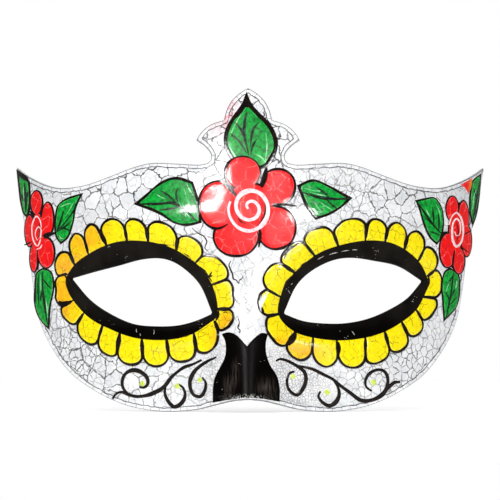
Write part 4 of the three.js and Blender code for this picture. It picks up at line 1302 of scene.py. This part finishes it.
# Wide jagged cracks in the lacquer beside the bridge of the nose, each with its width.
BOLD_CRACKS = [
    ([(-22.4, 34.4), (-20.6, 32.8), (-19.4, 32), (-17.8, 31.2), (-16.5, 29), (-17.2, 26.4),
      (-15.8, 24.9)], 0.5),
    ([(-6.8, 21.2), (-7.6, 19.6), (-6.9, 17.6), (-6.2, 16), (-5.8, 14), (-4.8, 13.6), (-3.6, 12)], 0.7),
    ([(-3.6, 12), (-3.4, 13.6), (-2.6, 14), (-2, 15.2)], 0.4),
    ([(-5.2, 6.8), (-5, 5.6), (-4.4, 4.6), (-3.2, 4), (-3.6, 2.8), (-3.2, 1.6), (-3.4, 0.6), (-2.8, -0.4),
      (-3.8, -2), (-3.4, -3), (-3.6, -4), (-4, -5.6), (-3.2, -6.4), (-3.4, -7.6)], 0.75),
]


def build_nose_patch():
    facts = {
        # Where the painted highlights lie: lighter streaks near the foot of the nose patch.
        "painted_highlight": total(blob(-7.6, -29.5, 1.6, 4.5), blob(-5, -24, 1, 5), blob(7.4, -29.8, 3.4, 3.4)),
        "chipped": blob(-0.5, -33.4, 6, 0.7),
    }
    sheets = Sheets()
    sheets.add([cornered(NOSE_PATCH)], rounded(0.04, 0.2, 0.4), step=1.1, rows=(0.2, 0.4), facts=facts)
    sheets.build("nose_patch_paint", [BLACK], ["nose_patch"])


def build_scroll(name):
    sheets = Sheets()
    for run in SCROLLS[name]:
        sheets.add([brush(run, SCROLL_WIDTH, 0.5, 0.4)], rounded(0.03, 0.26, 0.5), step=0.5, rows=(0.25,))
    sheets.build(name + "_paint", [INK_PAINT], [name])


def build_dots():
    sheets = Sheets()
    for x, z in DOTS:
        blot = ellipse(x, z, DOT_RADIUS, DOT_RADIUS * 1.1)
        blot = (blot - [x, z]) * (uneven(blot * 3, 0.3)[:, None]) + [x, z]
        sheets.add([blot], rounded(0.04, 0.3, 0.5), step=0.5, rows=(0.25,))
    sheets.build("dots", [LIME])


def build_bud():
    sheets = Sheets()
    outline = cornered(BUD, 0.5)
    sheets.add([outline], rounded(0.05, 0.2, 0.3), step=0.8, facts={"warmth": blob(91.5, 51, 1.2, 4)})
    sheets.build("tip_bud_right_paint", [RED], ["tip_bud_right"])


def build_bold_cracks():
    sheets = Sheets()
    for run, width in BOLD_CRACKS:
        sheets.add([brush(run, width, 0.4, 0.3)], 0.05, -0.1, step=0.5, rows=())
    sheets.build("bold_cracks", [INK_PAINT])


# ---- Studio: floor, lights and camera ----

CAMERA = {"x": 0.0008, "distance": 3.0, "height": 0.0256, "frame": 0.2, "sensor": 36}


def build_floor():
    low = cad_box[0]
    half = 0.7
    rows = 24
    sides = np.linspace(-half, half, rows)
    vertices = [(x, y, low.z) for y in sides for x in sides]
    faces = [
        (j * rows + i, j * rows + i + 1, (j + 1) * rows + i + 1, (j + 1) * rows + i)
        for j in range(rows - 1)
        for i in range(rows - 1)
    ]
    mesh = bpy.data.meshes.new("floor")
    mesh.from_pydata(vertices, [], faces)
    mesh.materials.append(floor_white())
    floor = bpy.data.objects.new("floor", mesh)
    bpy.context.scene.collection.objects.link(floor)


def softbox(name, direction, distance, width, height, radiance, glare=False):
    """A rectangular light that faces the mask from a direction. It either lights the mask's colours, or
    is seen only as a glare in its gloss."""
    light = bpy.data.lights.new(name, "AREA")
    light.shape = "RECTANGLE"
    light.size = width
    light.size_y = height
    light.energy = radiance * math.pi * width * height
    lamp = bpy.data.objects.new(name, light)
    low, high = cad_box
    towards = Vector(direction).normalized()
    lamp.location = (low + high) / 2 + towards * distance
    lamp.rotation_euler = towards.to_track_quat("Z", "Y").to_euler()
    lamp.visible_glossy = glare
    lamp.visible_diffuse = not glare
    bpy.context.scene.collection.objects.link(lamp)


def build_lights():
    softbox("key", (-0.1, -0.85, 0.5), 1.3, 1.2, 1.0, 3.1)
    softbox("fill_left", (-0.9, -0.45, 0.15), 1.2, 0.8, 1.0, 1.05)
    softbox("fill_right", (0.9, -0.45, 0.2), 1.2, 0.8, 1.0, 1.05)
    softbox("glare_left", (-0.29, -0.86, 0.42), 1.0, 0.3, 0.15, 80, glare=True)
    softbox("glare_right", (0.34, -0.89, 0.3), 1.0, 0.2, 0.24, 80, glare=True)


def build_world():
    """An even white surround, that the camera sees brighter than the mask does."""
    world = bpy.data.worlds.new("studio")
    world.use_nodes = True
    tree = world.node_tree
    background = tree.nodes["Background"]
    brighter_to_camera(tree, background.inputs["Strength"], 0.3, 1.0)
    background.inputs["Color"].default_value = (1, 1, 1, 1)
    bpy.context.scene.world = world


def build_camera():
    lens = bpy.data.cameras.new("camera")
    lens.sensor_width = CAMERA["sensor"]
    lens.lens = CAMERA["sensor"] * CAMERA["distance"] / CAMERA["frame"]
    lens.clip_end = 10
    camera = bpy.data.objects.new("camera", lens)
    camera.location = (CAMERA["x"], -CAMERA["distance"], CAMERA["height"])
    camera.rotation_euler = (math.pi / 2, 0, 0)
    bpy.context.scene.collection.objects.link(camera)
    bpy.context.scene.camera = camera


# ---- The whole mask ----

build_camera()
build_shell()
build_lining()
weave, yarn = ribbon_weave(), thread()
build_tab("tab_left", -1, weave, yarn)
build_tab("tab_right", 1, weave, yarn)
for leaf_name, leaf_plan in LEAVES.items():
    build_leaf(leaf_name, leaf_plan)
for rose_name, rose_plan in ROSES.items():
    build_rose(rose_name, rose_plan)
for eye in ("left", "right"):
    build_petals(eye)
    build_band(eye)
build_nose_patch()
for scroll_name in SCROLLS:
    build_scroll(scroll_name)
build_dots()
build_bud()
build_bold_cracks()

build_floor()
build_lights()
build_world()
bpy.context.scene.view_settings.view_transform = "Standard"
